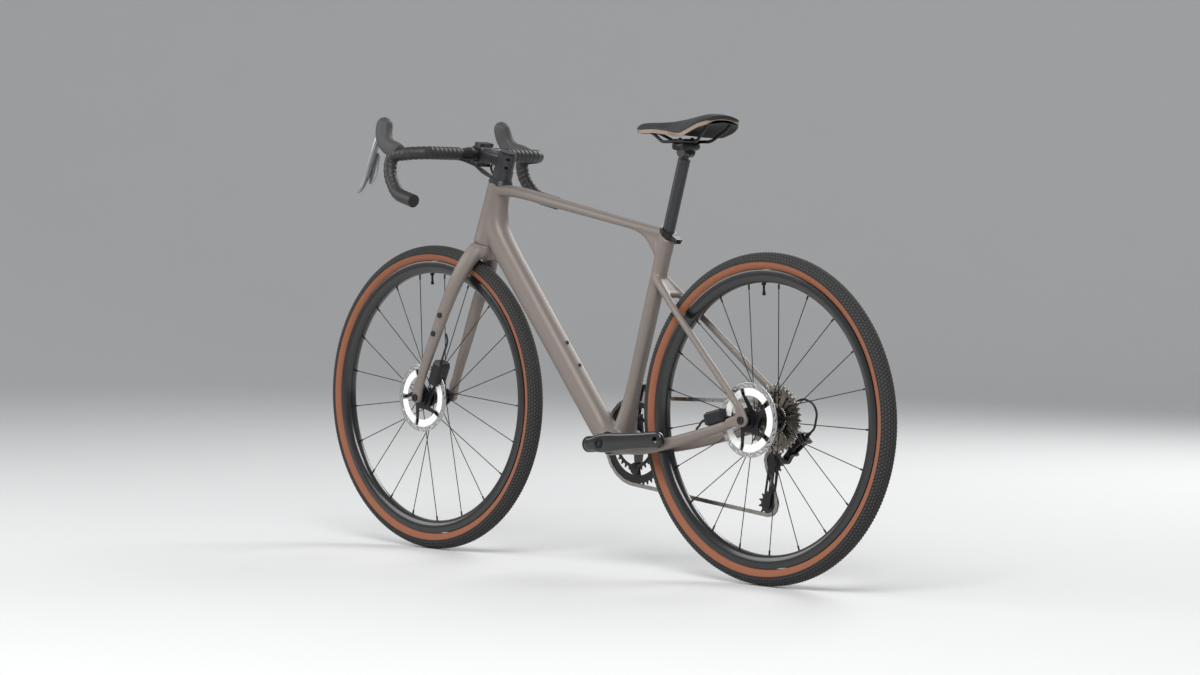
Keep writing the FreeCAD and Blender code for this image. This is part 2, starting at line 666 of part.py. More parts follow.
FRONT_ROTOR = FRONT_HALF - size("rotor_inset_front")
for label, centre in (("front", FRONT), ("rear", REAR)):
    make_tyre(label + "_tyre", centre)
    make_rim(label + "_rim", centre)
make_spokes("front_spokes", FRONT, FRONT_FLANGE, -32, SPOKE_START)
make_spokes("rear_spokes", REAR, REAR_FLANGE_RIGHT, REAR_FLANGE_LEFT, SPOKE_START - 360 / SPOKES)
make_front_hub()
make_rear_hub()
make_rotor("front_rotor", FRONT, FRONT_ROTOR)
make_rotor("rear_rotor", REAR, REAR_ROTOR)


def thru_axle(label, centre, half, outer):
    """A screwed axle through both dropouts, with a socket head on the left."""
    shank = primitive("Cylinder", label + "_shank",
                      Placement(centre - LEFT * half, Rotation(FORWARD, -90)),
                      Radius="dims.axle_radius", Height=f"{half} + {outer}")
    head = primitive("Cylinder", label + "_head",
                     Placement(centre + LEFT * outer, Rotation(FORWARD, -90)),
                     Radius="dims.axle_radius + 2.5", Height="3")
    socket = primitive("Cylinder", label + "_socket",
                       Placement(centre + LEFT * (outer - 3), Rotation(FORWARD, -90)),
                       Radius="dims.axle_radius * 0.5", Height="12")
    node(label, boolean("Cut", label, boolean("Fuse", label + "_solid", shank, head), socket))


FORK_OUTER = FRONT_HALF + 12
thru_axle("front_axle", FRONT, FORK_OUTER, FORK_OUTER)
thru_axle("rear_axle", REAR, REAR_HALF + DROPOUT + 1, REAR_HALF + DROPOUT)

# Fork: steerer, crown and two legs that lean out round the wheel to the axle
STEM_FOOT = HEAD_TOP + HEAD_UP * 33
STEM_CLAMP = 40
STEERER_WALL = 2.5
STEM_TOP = STEM_FOOT + HEAD_UP * STEM_CLAMP


def leg_point(share, side, bow):
    """A point of the left leg between crown and axle, bowed forwards of the straight line."""
    crown = HEAD_FOOT - HEAD_UP * 14 + FORWARD * 8
    return crown + (FRONT - crown) * share + Vector(bow, side, 0)


def fork_leg():
    """The left leg with its dropout."""
    leg = tube([
        (leg_point(-0.01, 18, -4), 13, 20, 9),
        (leg_point(0.10, 38, 0), 13, 19, 9),
        (leg_point(0.28, 47, 4), 11, 17, 8),
        (leg_point(0.56, 53, 6), 9.5, 14.5, 7),
        (leg_point(0.84, FRONT_HALF + 6, 2), 7, 12, 5),
        (leg_point(0.97, FRONT_HALF + 6, 0), 6, 11, 5),
    ])
    tip = link(FRONT, 12, leg_point(0.9, 0, 1), 10.5, FRONT_HALF, FORK_OUTER)
    return [leg, tip]


BOSS_SHARES = (0.50, 0.64)
BOSS_RADIUS = 2.5
BOSS_DEPTH = 10


def leg_boss(share):
    """The mouth of a threaded boss on the left leg's outer face."""
    point = leg_point(share, 0, 6)
    return Vector(point.x, 63.4 + 10 * (share - 0.56), point.z)


def make_fork():
    """Steerer, crown and legs as one moulded piece, with the tyre's arch and the axle's holes."""
    steerer = rod(HEAD_FOOT - HEAD_UP * 4, STEM_TOP - HEAD_UP * 3, size("steerer_radius"))
    crown = tube([
        (HEAD_FOOT - HEAD_UP * GAP, 26, 27, 20),
        (HEAD_FOOT - HEAD_UP * 9, 29, 27, 18),
        (HEAD_FOOT - HEAD_UP * 18 + FORWARD * 3, 32, 25, 16),
        (HEAD_FOOT - HEAD_UP * 36 + FORWARD * 10, 36, 20, 12),
    ])
    legs = fork_leg()
    holes = []
    for share in BOSS_SHARES:
        mouth = leg_boss(share)
        legs.append(rod(mouth, mouth - LEFT * 4, BOSS_RADIUS + 2))
        holes.append(rod(mouth, mouth - LEFT * BOSS_DEPTH, BOSS_RADIUS))
    whole = fused([steerer, crown] + legs + [mirrored(piece) for piece in legs])
    cuts = [across(FRONT, -29, 29, CLEAR_ARC), across(FRONT, -90, 90, AXLE_HOLE),
            rod(HEAD_FOOT - HEAD_UP * 3, STEM_TOP, size("steerer_radius") - STEERER_WALL)]
    cuts += holes + [mirrored(hole) for hole in holes]
    return whole.cut(cuts[0].multiFuse(cuts[1:]))


node("fork", shaped("fork", make_fork()))

# Headset cover and two spacers between head tube and stem
cover_foot = HEAD_TOP + HEAD_UP * GAP
BORE = size("steerer_radius") + FIT
cover = tube([
    (cover_foot, 25, 27, 18),
    (HEAD_TOP + HEAD_UP * 12, 21, 24, 18),
])
spacer_stack = [cover.cut(rod(HEAD_TOP - HEAD_UP, STEM_TOP, BORE))]
for low, high in ((12, 22), (22, 33)):
    spacer = tube([
        (HEAD_TOP + HEAD_UP * low, 20, 23, 18),
        (HEAD_TOP + HEAD_UP * high, 20, 23, 18),
    ])
    spacer_stack.append(spacer.cut(rod(HEAD_TOP - HEAD_UP, STEM_TOP, BORE)))
group("headset_spacers", spacer_stack)

# Stem: a clamp on the steerer, a body and half a clamp round the bar; the faceplate is the other half
STEM_RISE = math.radians(size("stem_rise"))
STEM_OUT = Vector(math.cos(STEM_RISE), 0, math.sin(STEM_RISE))
STEM_MID = STEM_FOOT + HEAD_UP * (STEM_CLAMP / 2)
BAR = STEM_MID + STEM_OUT * size("stem_length")
CLAMP_HALF = 21
CLAMP_RADIUS = size("bar_radius") + 5.5
PLATE_GAP = 1


def half_space(point, outward):
    """A block that holds everything on one side of a plane that runs along Y."""
    block = Part.makeBox(200, 200, 200, Vector(0, -100, -100))
    turn = math.degrees(math.atan2(-outward.z, outward.x))
    block.Placement = Placement(point, Rotation(LEFT, turn))
    return block


STEM_UP = Vector(-STEM_OUT.z, 0, STEM_OUT.x)
LUG_LIFT = size("bar_radius") + 7
LUG_HALF = 9
STEM_BOLT = 2.5
STEM_BOLT_HEAD = 4


def slab(centre, along, half_long, half_side, half_up, corner):
    """A rounded bar along a direction, about a centre."""
    return tube([
        (centre - along * half_long, half_side, half_up, corner),
        (centre + along * half_long, half_side, half_up, corner),
    ])


def faceplate_spots():
    """The four bolts' places on the faceplate's front, above and below the bar."""
    spots = []
    for lift in (-LUG_LIFT, LUG_LIFT):
        for side in (-14, 14):
            spots.append(BAR + STEM_UP * lift + LEFT * side + STEM_OUT * LUG_HALF)
    return spots


def pinch_spots():
    """The middles of the two bolts across the back of the steerer clamp."""
    return [STEM_FOOT + HEAD_UP * rise - HEAD_AHEAD * 17.5 for rise in (10, 30)]


def bar_clamp():
    """The whole ring round the handlebar with its bolt lugs, drilled, before it is parted."""
    whole = [across(BAR, -CLAMP_HALF, CLAMP_HALF, CLAMP_RADIUS)]
    for lift in (-LUG_LIFT, LUG_LIFT):
        whole.append(slab(BAR + STEM_UP * lift, STEM_OUT, LUG_HALF, CLAMP_HALF, 4.5, 2))
    return fused(whole)


def drilled(shape):
    """A half of the clamp with the faceplate bolts' holes and the seats of their heads."""
    for spot in faceplate_spots():
        shape = shape.cut(rod(spot, spot + STEM_OUT * 8, STEM_BOLT_HEAD + FIT))
        shape = shape.cut(rod(spot + STEM_OUT, spot - STEM_OUT * (2 * LUG_HALF + 1), STEM_BOLT + FIT))
    return shape


def make_stem():
    """The stem's body with its two clamps bored."""
    grip = tube([(STEM_FOOT, 19, 21, 17), (STEM_TOP, 19, 21, 17)])
    neck = tube([
        (STEM_MID, 18, 18, 10),
        (STEM_MID + STEM_OUT * (size("stem_length") * 0.5), 15, 14, 8),
        (BAR - STEM_OUT * 8, CLAMP_HALF, 17, 10),
    ])
    whole = fused([grip, neck, bar_clamp()])
    whole = whole.cut(half_space(BAR + STEM_OUT * (PLATE_GAP / 2), STEM_OUT))
    whole = whole.cut(across(BAR, -60, 60, size("bar_radius") + FIT))
    whole = drilled(whole.cut(rod(STEM_FOOT - HEAD_UP, STEM_TOP + HEAD_UP, BORE)))
    split = Part.makeBox(20, 1.5, STEM_CLAMP + 2, Vector(-30, -0.75, -1))
    split.Placement = Placement(STEM_FOOT, Rotation(LEFT, size("head_angle") - 90))
    whole = whole.cut(split)
    for spot in pinch_spots():
        whole = whole.cut(rod(spot - LEFT * 30, spot + LEFT * 30, STEM_BOLT - 0.5 + FIT))
        whole = whole.cut(rod(spot + LEFT * 7, spot + LEFT * 30, 3.6))
    return whole


node("stem", shaped("stem", make_stem()))
plate = bar_clamp().cut(half_space(BAR + STEM_OUT * PLATE_GAP, -STEM_OUT))
plate = drilled(plate.cut(across(BAR, -60, 60, size("bar_radius") + FIT)))
node("stem_faceplate", shaped("stem_faceplate", plate))

# Stem cap: a disc over the steerer, its bolt, and the plug inside the steerer that the bolt draws up
cap = ring(STEM_TOP, STEM_TOP + HEAD_UP * 4, 18, STEM_BOLT + FIT)
cap = cap.cut(rod(STEM_TOP + HEAD_UP * 1.5, STEM_TOP + HEAD_UP * 5, 4.1))
cap_bolt = socket_bolt(STEM_TOP + HEAD_UP * 1.5, HEAD_UP, 4, 2.5, STEM_BOLT, 30)
plug_radius = size("steerer_radius") - STEERER_WALL - FIT
steerer_plug = ring(STEM_TOP - HEAD_UP * 28, STEM_TOP - HEAD_UP * 8, plug_radius, STEM_BOLT + FIT)
group("stem_cap", [cap, cap_bolt, steerer_plug])

# Handlebar: straight tops, a bend forwards into the ramp, and a flared drop
TOP_END = size("bar_half_width")
REACH = size("bar_reach")
DROP = size("bar_drop")
FLARE = size("bar_flare")


def bar_route():
    """The left half of the bar's centre line, from the stem to the drop's end."""
    return [
        BAR,
        BAR + Vector(0, TOP_END - 4, 0),
        BAR + Vector(REACH, TOP_END + 4, -6),
        BAR + Vector(REACH - 2, TOP_END + FLARE * 0.42, -DROP * 0.46),
        BAR + Vector(REACH * 0.55, TOP_END + FLARE * 0.74, -DROP * 0.87),
        BAR + Vector(-12, TOP_END + FLARE, -DROP),
    ]


BEND = 60
BAR_WALL = 2.4
route = bar_route()
left_bar = pipe(route, BEND, size("grip_radius"))
sleeve = across(BAR, -44, 44, size("bar_radius"))
shoulder = Part.makeCone(size("bar_radius"), size("grip_radius"), 24, BAR + LEFT * 44, LEFT)
bar_solid = fused([left_bar, mirrored(left_bar), sleeve, shoulder, mirrored(shoulder)])
bar_bore = pipe(route, BEND, size("grip_radius") - BAR_WALL)
node("handlebar", shaped("handlebar", bar_solid.cut(bar_bore).cut(mirrored(bar_bore))))

# Bar tape: a wrap from beside the stem to the drop's end
TAPE_START = 74
PLUG = 5
tape_route = [BAR + LEFT * TAPE_START] + route[1:]
last_run = unit(route[-1] - route[-2])
tape_solid = pipe(tape_route, BEND, size("grip_radius") + size("tape_wall"))
tape_solid = tape_solid.cut(pipe(route, BEND, size("grip_radius") + FIT))
group("bar_tape", [tape_solid, mirrored(tape_solid)])

# Bar end plugs: a cap over the tape's end with a stem inside the bar's end face
plug_solid = rod(route[-1] + last_run * FIT, route[-1] + last_run * PLUG, size("grip_radius") + 3)
group("bar_plugs", [plug_solid, mirrored(plug_solid)])

# Brake hoods with the pins that carry the levers
HOOD = BAR + Vector(REACH - 12, TOP_END, 0)
PIVOT = HOOD + Vector(68, -6, 34)
PIN_RADIUS = 2.5


def hood_solid():
    """The left rubber hood, from the bar's bend up to the horn, opened for the lever's knuckle."""
    body = tube([
        (HOOD + Vector(-4, 1, 4), 15, 17, 9),
        (HOOD + Vector(28, -3, 13), 14.5, 17, 9),
        (HOOD + Vector(50, -8, 30), 14, 18, 9),
        (HOOD + Vector(57, -13, 56), 13.5, 17, 9),
        (HOOD + Vector(54, -16, 74), 10, 12, 8),
    ])
    body = body.cut(pipe(route, BEND, size("grip_radius") + size("tape_wall") + 0.2))
    solids = sorted(body.Solids, key=lambda solid: solid.Volume)
    opening = fused([
        across(PIVOT, PIVOT.y - 9, PIVOT.y + 9, 9),
        link(PIVOT, 9, PIVOT + Vector(-2, 0, -40), 16, PIVOT.y - 9, PIVOT.y + 9),
    ])
    return solids[-1].cut(opening)


def lever_pin():
    """The left lever's pin, across the hood's opening."""
    return across(PIVOT, PIVOT.y - 9 + FIT, PIVOT.y + 9 - FIT, PIN_RADIUS)


hood = hood_solid()
pin = lever_pin()
group("brake_hoods", [hood, pin, mirrored(hood), mirrored(pin)])

LEVER_HALF = 6


def lever_solid():
    """The left brake lever: a knuckle on the pin and a curved blade down to its tip."""
    knuckle = across(PIVOT, PIVOT.y - 7, PIVOT.y + 7, 6)
    blade = tube([
        (PIVOT + Vector(1, 0, 2), LEVER_HALF, 5, 2.5),
        (PIVOT + Vector(13, 2, -34), LEVER_HALF, 5, 2.5),
        (PIVOT + Vector(28, 4, -72), LEVER_HALF - 0.5, 4.5, 2.2),
        (PIVOT + Vector(40, 7, -106), LEVER_HALF - 1, 4, 2),
        (PIVOT + Vector(56, 10, -126), 3.5, 2.5, 1.2),
    ])
    return fused([knuckle, blade]).cut(across(PIVOT, 0, 400, PIN_RADIUS + FIT))


def paddle_solid():
    """The left shift paddle: a thin blade inboard of and behind the brake lever."""
    inboard = -LEVER_HALF - 1.3
    boss = rod(PIVOT + Vector(1, inboard, -37), PIVOT + Vector(13, inboard, -37), 3)
    blade = tube([
        (PIVOT + Vector(6, inboard, -36), 1.6, 6, 1.4),
        (PIVOT + Vector(16, inboard + 1.5, -66), 1.6, 10, 1.4),
        (PIVOT + Vector(25, inboard + 3, -92), 1.6, 10, 1.4),
        (PIVOT + Vector(31, inboard + 4, -105), 1.6, 5, 1.4),
    ])
    return fused([boss, blade])


lever = lever_solid()
paddle = paddle_solid()
node("brake_lever_left", shaped("brake_lever_left", lever))
node("brake_lever_right", shaped("brake_lever_right", mirrored(lever)))
node("shift_paddle_left", shaped("shift_paddle_left", paddle))
node("shift_paddle_right", shaped("shift_paddle_right", mirrored(paddle)))

# Hoses from under the bar tape to the headset cover, below the stem
HOSE_RADIUS = 2.5


def cockpit_hose(around, side, recess, lead):
    """A hose from the tape's edge, past the stem, to the front of the headset cover.

    around is its angle about the bar, side its place on the cover, recess the cover's rounding there
    and lead how far it stands ahead of the cover before it turns in.
    """
    out = Vector(math.cos(math.radians(around)), 0, math.sin(math.radians(around)))
    face = HEAD_TOP + HEAD_UP * 7 + HEAD_AHEAD * (26.4 - recess) + LEFT * side
    return pipe([
        BAR + LEFT * (TAPE_START - 0.4) + out * (size("grip_radius") + HOSE_RADIUS + 0.4),
        BAR + LEFT * 46 + out * (size("bar_radius") + HOSE_RADIUS + 1.2),
        face + HEAD_AHEAD * lead + Vector(0, 12, lead * 0.4),
        face,
    ], 40, HOSE_RADIUS)


hose_pair = [cockpit_hose(-120, 11, 1.1, 14), cockpit_hose(-50, 4, 0, 30)]
hoses = hose_pair + [mirrored(item) for item in hose_pair]

# Calipers: a block behind each leg or above the stay, slotted for the rotor, with pistons and pads
LENGTH = size("caliper_length")


def caliper_block(centre, tilt, side):
    """A rounded block turned about Y by a tilt, with a slot for the rotor and bores for the pistons."""
    block = tube([
        (Vector(-LENGTH / 2, 0, 0), BODY_HALF - 2, DEPTH / 2 - 3, 4),
        (Vector(-LENGTH / 2 + 8, 0, 0), BODY_HALF, DEPTH / 2, 6),
        (Vector(LENGTH / 2 - 8, 0, 0), BODY_HALF, DEPTH / 2, 6),
        (Vector(LENGTH / 2, 0, 0), BODY_HALF - 2, DEPTH / 2 - 3, 4),
    ])
    block.Placement = Placement(Vector(centre.x, side, centre.z), Rotation(LEFT, tilt))
    return block


def make_caliper(label, centre, tilt, side, wheel_centre):
    """Caliper body and its two pads, each a friction block with its piston."""
    block = caliper_block(centre, tilt, side)
    reach = unit(Vector(centre.x - wheel_centre.x, 0, centre.z - wheel_centre.z))
    spot = pad_spot(centre, wheel_centre)
    slot = across(wheel_centre, side - SLOT_HALF, side + SLOT_HALF, size("rotor_radius") + 3)
    piston_bore = across(spot, side - BODY_HALF + 3, side + BODY_HALF - 3, size("piston_radius") + FIT)
    node(label + "_caliper", shaped(label + "_caliper", block.cut(slot.fuse(piston_bore))))
    face = size("rotor_thickness") / 2 + size("pad_gap")
    for name, way in (("outer", 1), ("inner", -1)):
        low, high = sorted((side + way * face, side + way * (face + size("pad_thickness") - 0.1)))
        pad = link(spot - reach * 1.5, 9.5, spot + reach * 1.5, 9.5, low, high)
        back, rear = sorted((side + way * (face + size("pad_thickness")), side + way * (BODY_HALF - 4)))
        piston = across(spot, back, rear, size("piston_radius"))
        group(f"{label}_pad_{name}", [pad, piston])


leg_low = leg_point(0.86, 0, 2)
leg_high = leg_point(0.70, 0, 4)
LEG_TILT = math.degrees(math.atan2(leg_low.z - leg_high.z, leg_high.x - leg_low.x))
leg_back = Rotation(LEFT, LEG_TILT).multVec(UP)
if leg_back.x > 0:
    leg_back = leg_back * -1
FRONT_CALIPER = leg_point(0.80, 0, 2) + leg_back * (DEPTH / 2 + 13.5)
make_caliper("front", FRONT_CALIPER, LEG_TILT, FRONT_ROTOR, FRONT)
make_caliper("rear", REAR_CALIPER, STAY_TILT, REAR_ROTOR, REAR)

# Rear hose from the stay to the caliper
stay_exit = on_stay(0.655, 59, -4.5)
caliper_front = REAR_CALIPER + Rotation(LEFT, STAY_TILT).multVec(FORWARD) * (LENGTH / 2 + 0.3)
caliper_front = Vector(caliper_front.x, REAR_ROTOR + 8, caliper_front.z)
stay_ahead = unit(stay_front - stay_back)
rear_hose = pipe([
    stay_exit + stay_up * 2.8,
    stay_exit - stay_ahead * 9 + stay_up * 7,
    caliper_front + stay_ahead * 12 + stay_up * 0.5,
    caliper_front,
], 20, HOSE_RADIUS)

# Front hose from the left leg's inner face to the caliper
caliper_top = FRONT_CALIPER + unit(leg_high - leg_low) * (LENGTH / 2 + 0.3)
caliper_top = Vector(caliper_top.x, FRONT_ROTOR + 4, caliper_top.z)
leg_exit = leg_point(0.57, 46, -8)
front_hose = pipe([
    leg_exit + Vector(-9, -2, 2),
    leg_exit + Vector(-14, -3, -16),
    caliper_top + unit(leg_high - leg_low) * 14,
    caliper_top,
], 30, HOSE_RADIUS)
group("cockpit_hoses", hoses + [front_hose])

# Chain drive: the chain's path runs round the large ring, one sprocket and two pulleys
PITCH = size("pitch")
CHAIN_Y = -size("chain_line")


def pitch_radius(teeth):
    """The radius of the circle through the roller centres of a toothed wheel."""
    return PITCH / (2 * math.sin(math.pi / teeth))


RING = int(size("ring_teeth"))
SMALL = int(size("small_ring_teeth"))
COG = int(size("cog_teeth"))
PULLEY = int(size("pulley_teeth"))
GUIDE = REAR + Vector(19, 0, -92)


def tangent(a, radius_a, way_a, b, radius_b, way_b):
    """The straight run between two circles: its direction, start, end and length."""
    span = b - a
    shift = way_b * radius_b - way_a * radius_a
    length = math.sqrt(span.Length ** 2 - shift ** 2)
    heading = math.atan2(span.z, span.x) - math.atan2(shift, length)
    run = Vector(math.cos(heading), 0, math.sin(heading))
    out = Vector(run.z, 0, -run.x)
    return a + out * (way_a * radius_a), b + out * (way_b * radius_b), length


def chain_path(cage_angle):
    """Runs and arcs of the chain as (kind, links, data), and the lower pulley's centre."""
    angle = math.radians(cage_angle)
    lower = GUIDE + Vector(math.cos(angle), 0, math.sin(angle)) * size("cage_length")
    wheels = [(CRANK, RING, -1), (lower, PULLEY, -1), (GUIDE, PULLEY, 1), (REAR, COG, -1)]
    runs = []
    for i, (centre, teeth, way) in enumerate(wheels):
        after, after_teeth, after_way = wheels[(i + 1) % 4]
        runs.append(tangent(centre, pitch_radius(teeth), way, after, pitch_radius(after_teeth), after_way))
    path = []
    for i, (centre, teeth, way) in enumerate(wheels):
        enter = runs[i - 1][1] - centre
        leave = runs[i][0] - centre
        start = math.atan2(enter.z, enter.x)
        sweep = (way * (math.atan2(leave.z, leave.x) - start)) % (2 * math.pi)
        path.append(("arc", sweep * teeth / (2 * math.pi), (centre, teeth, way, start)))
        path.append(("run", runs[i][2] / PITCH, (runs[i][0], runs[i][1])))
    return path, lower


def link_count(cage_angle):
    """How many links the chain's path takes."""
    return sum(step[1] for step in chain_path(cage_angle)[0])


CAGE_REST = -83
wanted_links = 2 * round(link_count(CAGE_REST) / 2)
low_angle, high_angle = CAGE_REST - 30, CAGE_REST + 30
rising = link_count(high_angle) > link_count(low_angle)
for _ in range(60):
    middle = (low_angle + high_angle) / 2
    if (link_count(middle) < wanted_links) == rising:
        low_angle = middle
    else:
        high_angle = middle
CAGE_ANGLE = (low_angle + high_angle) / 2
CHAIN, TENSION = chain_path(CAGE_ANGLE)


def roller_places():
    """Every roller's centre, and for each toothed wheel the angle of a roller on it."""
    places = []
    phases = {}
    done = 0
    for kind, links, data in CHAIN:
        k = math.ceil(done - 1e-6)
        while k < done + links - 1e-6:
            part = k - done
            if kind == "run":
                places.append(data[0] + (data[1] - data[0]) * (part / links))
            else:
                centre, teeth, way, start = data
                angle = start + way * part * 2 * math.pi / teeth
                offset = Vector(math.cos(angle), 0, math.sin(angle)) * pitch_radius(teeth)
                places.append(centre + offset)
                phases.setdefault((round(centre.x), round(centre.z)), angle)
            k += 1
        done += links
    return places, phases


ROLLERS, PHASES = roller_places()
print(f"chain of {len(ROLLERS)} links, cage at {CAGE_ANGLE:.5f} degrees")


def phase_of(centre):
    """The angle of a tooth gap on the toothed wheel at that centre."""
    return PHASES[(round(centre.x), round(centre.z))]


ROLLER = 3.85
PLATE_END = 4.1


def chain_links():
    """Inner links with rollers and outer links with pins, one solid each, along the path."""
    ends = (Vector(-PITCH / 2, 0, 0), Vector(PITCH / 2, 0, 0))
    inner = [link(ends[0], PLATE_END, ends[1], PLATE_END, low, low + 0.8) for low in (1.15, -1.95)]
    inner += [across(end, -1.2, 1.2, ROLLER) for end in ends]
    bores = across(ends[0], -3, 3, 1.85).fuse(across(ends[1], -3, 3, 1.85))
    inner_link = fused(inner).cut(bores)
    outer = [link(ends[0], PLATE_END, ends[1], PLATE_END, low, low + 0.6) for low in (2.05, -2.65)]
    outer += [across(end, -2.7, 2.7, 1.65) for end in ends]
    outer_link = fused(outer)
    solids = []
    for i, start in enumerate(ROLLERS):
        stop = ROLLERS[(i + 1) % len(ROLLERS)]
        run = stop - start
        solid = (inner_link if i % 2 else outer_link).copy()
        turn = -math.degrees(math.atan2(run.z, run.x))
        solid.Placement = Placement((start + stop) * 0.5 + LEFT * CHAIN_Y, Rotation(LEFT, turn))
        solids.append(solid)
    return solids


group("chain", chain_links())
SEAT = ROLLER + 0.2
TOOTH = 3.4


def toothed_disc(centre, teeth, side, thickness, phase, bore):
    """A sprocket: round roller seats with tapered teeth between them, bored in the middle."""
    radius = pitch_radius(teeth)
    step = 2 * math.pi / teeth
    half_tip = 0.8 / radius
    mid = Vector(centre.x, side - thickness / 2, centre.z)
    edges = []
    corners = []
    for k in range(teeth):
        angle = phase + k * step
        out = Vector(math.cos(angle), 0, math.sin(angle))
        turn = Vector(-math.sin(angle), 0, math.cos(angle))
        gap = mid + out * radius
        corners.append((gap - turn * SEAT, gap - out * SEAT, gap + turn * SEAT, angle))
    for k, (start, bottom, stop, angle) in enumerate(corners):
        edges.append(Part.Arc(start, bottom, stop).toShape())
        tip = angle + step / 2
        tips = []
        for place in (tip - half_tip, tip + half_tip):
            tips.append(mid + Vector(math.cos(place), 0, math.sin(place)) * (radius + TOOTH))
        edges.append(Part.LineSegment(stop, tips[0]).toShape())
        edges.append(Part.LineSegment(tips[0], tips[1]).toShape())
        edges.append(Part.LineSegment(tips[1], corners[(k + 1) % teeth][0]).toShape())
    hole = Part.Wire(Part.Circle(mid, LEFT, bore).toShape())
    return Part.Face([Part.Wire(edges), hole]).extrude(LEFT * thickness)


COGS = (36, 32, 28, 24, 21, 19, 17, 15, 14, 13, 12, 11)
COG_THICK = 1.6
STEP = size("cog_step")


def cog_side(index):
    """The place of a sprocket along Y: the driven one runs in the chain's plane."""
    return CHAIN_Y - (index - COGS.index(COG)) * STEP


def make_cassette():
    """Freehub body, sprockets, spacers between them and the lockring."""
    freehub = size("freehub_radius")
    end = cog_side(len(COGS) - 1) - 1.5
    start = -FREEHUB_START - GAP
    solids = [ring(REAR + LEFT * end, REAR + LEFT * start, freehub, size("sleeve_radius") + FIT)]
    for index, teeth in enumerate(COGS):
        phase = phase_of(REAR) if teeth == COG else math.radians(7 * index)
        solids.append(toothed_disc(REAR, teeth, cog_side(index), COG_THICK, phase, freehub + FIT))
    for index in range(len(COGS) - 1):
        low = cog_side(index + 1) + COG_THICK / 2
        high = cog_side(index) - COG_THICK / 2
        solids.append(ring(REAR + LEFT * low, REAR + LEFT * high, freehub + 1.8, freehub + FIT))
    solids.append(ring(REAR + LEFT * (end - 2), REAR + LEFT * end, freehub + 1.5,
                       size("sleeve_radius") + 0.6))
    group("cassette", solids)


make_cassette()

# Chainrings: each a toothed ring with four inward lugs at the bolts
BOLTS = size("bolt_circle")
RING_THICK = 1.9
LUG_ANGLES = (20, 90, 200, 270)
SMALL_Y = CHAIN_Y + size("ring_step")


def chainring(teeth, side, phase, inner):
    """A toothed ring with lugs drilled for the bolts."""
    disc = toothed_disc(CRANK, teeth, side, RING_THICK, phase, inner)
    low, high = side - RING_THICK / 2, side + RING_THICK / 2
    lugs = []
    holes = []
    for angle in LUG_ANGLES:
        spot = polar(CRANK, angle, BOLTS, 0)
        root = polar(CRANK, angle, max(inner + 3, BOLTS + 6), 0)
        lugs.append(link(spot, 8, root, 13, low, high))
        holes.append(across(spot, -90, 0, 4 + FIT))
    return fused([disc] + lugs).cut(holes[0].multiFuse(holes[1:]))


large_ring = chainring(RING, CHAIN_Y, phase_of(CRANK), 76)
inner_ring_radius = pitch_radius(SMALL) - 11
small_ring = chainring(SMALL, SMALL_Y, 0, inner_ring_radius)
group("chainrings", [large_ring, small_ring])

# Crank: the right arm carries the spider and the spindle, the left arm is clamped on the spindle
ARM_IN = size("crank_offset")
ARM_OUT = ARM_IN + size("crank_thickness")
RISE = math.radians(size("crank_rise"))
ARM_RUN = Vector(math.cos(RISE), 0, -math.sin(RISE))
PEDAL_RIGHT = CRANK + ARM_RUN * size("crank_length")
PEDAL_LEFT = CRANK - ARM_RUN * size("crank_length")
SPIDER_IN = CHAIN_Y - RING_THICK / 2 - 0.05
SPINDLE_LEFT = ARM_OUT - 2


def make_right_arm():
    """Right arm, four-legged spider and hollow spindle."""
    arm = link(CRANK, 21, PEDAL_RIGHT, size("crank_end"), -ARM_OUT, -ARM_IN)
    hub = across(CRANK, -ARM_IN - 1, SPIDER_IN, 24)
    legs = []
    for angle in LUG_ANGLES:
        legs.append(link(CRANK, 15, polar(CRANK, angle, BOLTS, 0), 8.5, SPIDER_IN - 7, SPIDER_IN))
    spindle = across(CRANK, -ARM_IN, SPINDLE_LEFT, size("spindle_radius"))
    whole = fused([arm, hub, spindle] + legs)
    cuts = [across(PEDAL_RIGHT, -90, 0, size("pedal_radius")),
            across(CRANK, -ARM_OUT + 4, 90, size("spindle_radius") - 3)]
    for angle in LUG_ANGLES:
        cuts.append(across(polar(CRANK, angle, BOLTS, 0), -90, 0, 4 + FIT))
    return whole.cut(cuts[0].multiFuse(cuts[1:]))


PINCH = CRANK + ARM_RUN * 33
ARM_UP = Rotation(LEFT, size("crank_rise")).multVec(UP)


def crank_pinch_seats():
    """Where the heads of the left arm's two pinch bolts sit, in the clamp's upper ear."""
    return [PINCH + LEFT * side + ARM_UP * 11.5 for side in (ARM_IN, ARM_OUT - 5)]


def make_left_arm():
    """Left arm: a split clamp ahead of the spindle and the pedal's thread at the rear."""
    arm = link(CRANK, 20.5, PEDAL_LEFT, size("crank_end"), ARM_IN, ARM_OUT)
    clamp = link(CRANK, 20.5, PINCH, 15, ARM_IN - 6, ARM_OUT)
    collar = across(CRANK, SHELL_HALF + CUP_FLANGE + GAP, ARM_IN, 18)
    whole = fused([arm, clamp, collar])
    split = Part.makeBox(40, 60, 2, Vector(size("spindle_radius") - 2, ARM_IN - 20, -1))
    split.Placement = Placement(Vector(CRANK.x, 0, CRANK.z), Rotation(LEFT, size("crank_rise")))
    cuts = [across(PEDAL_LEFT, 0, 90, size("pedal_radius")),
            across(CRANK, 0, 90, size("spindle_radius") + FIT), split]
    for seat in crank_pinch_seats():
        cuts.append(rod(seat + ARM_UP * 9, seat, 4))
        cuts.append(rod(seat + ARM_UP, seat - ARM_UP * 25, 2.5 + FIT))
    for cut in cuts:
        whole = whole.cut(cut)
    return whole


node("crank_arm_right", shaped("crank_arm_right", make_right_arm()))
node("crank_arm_left", shaped("crank_arm_left", make_left_arm()))


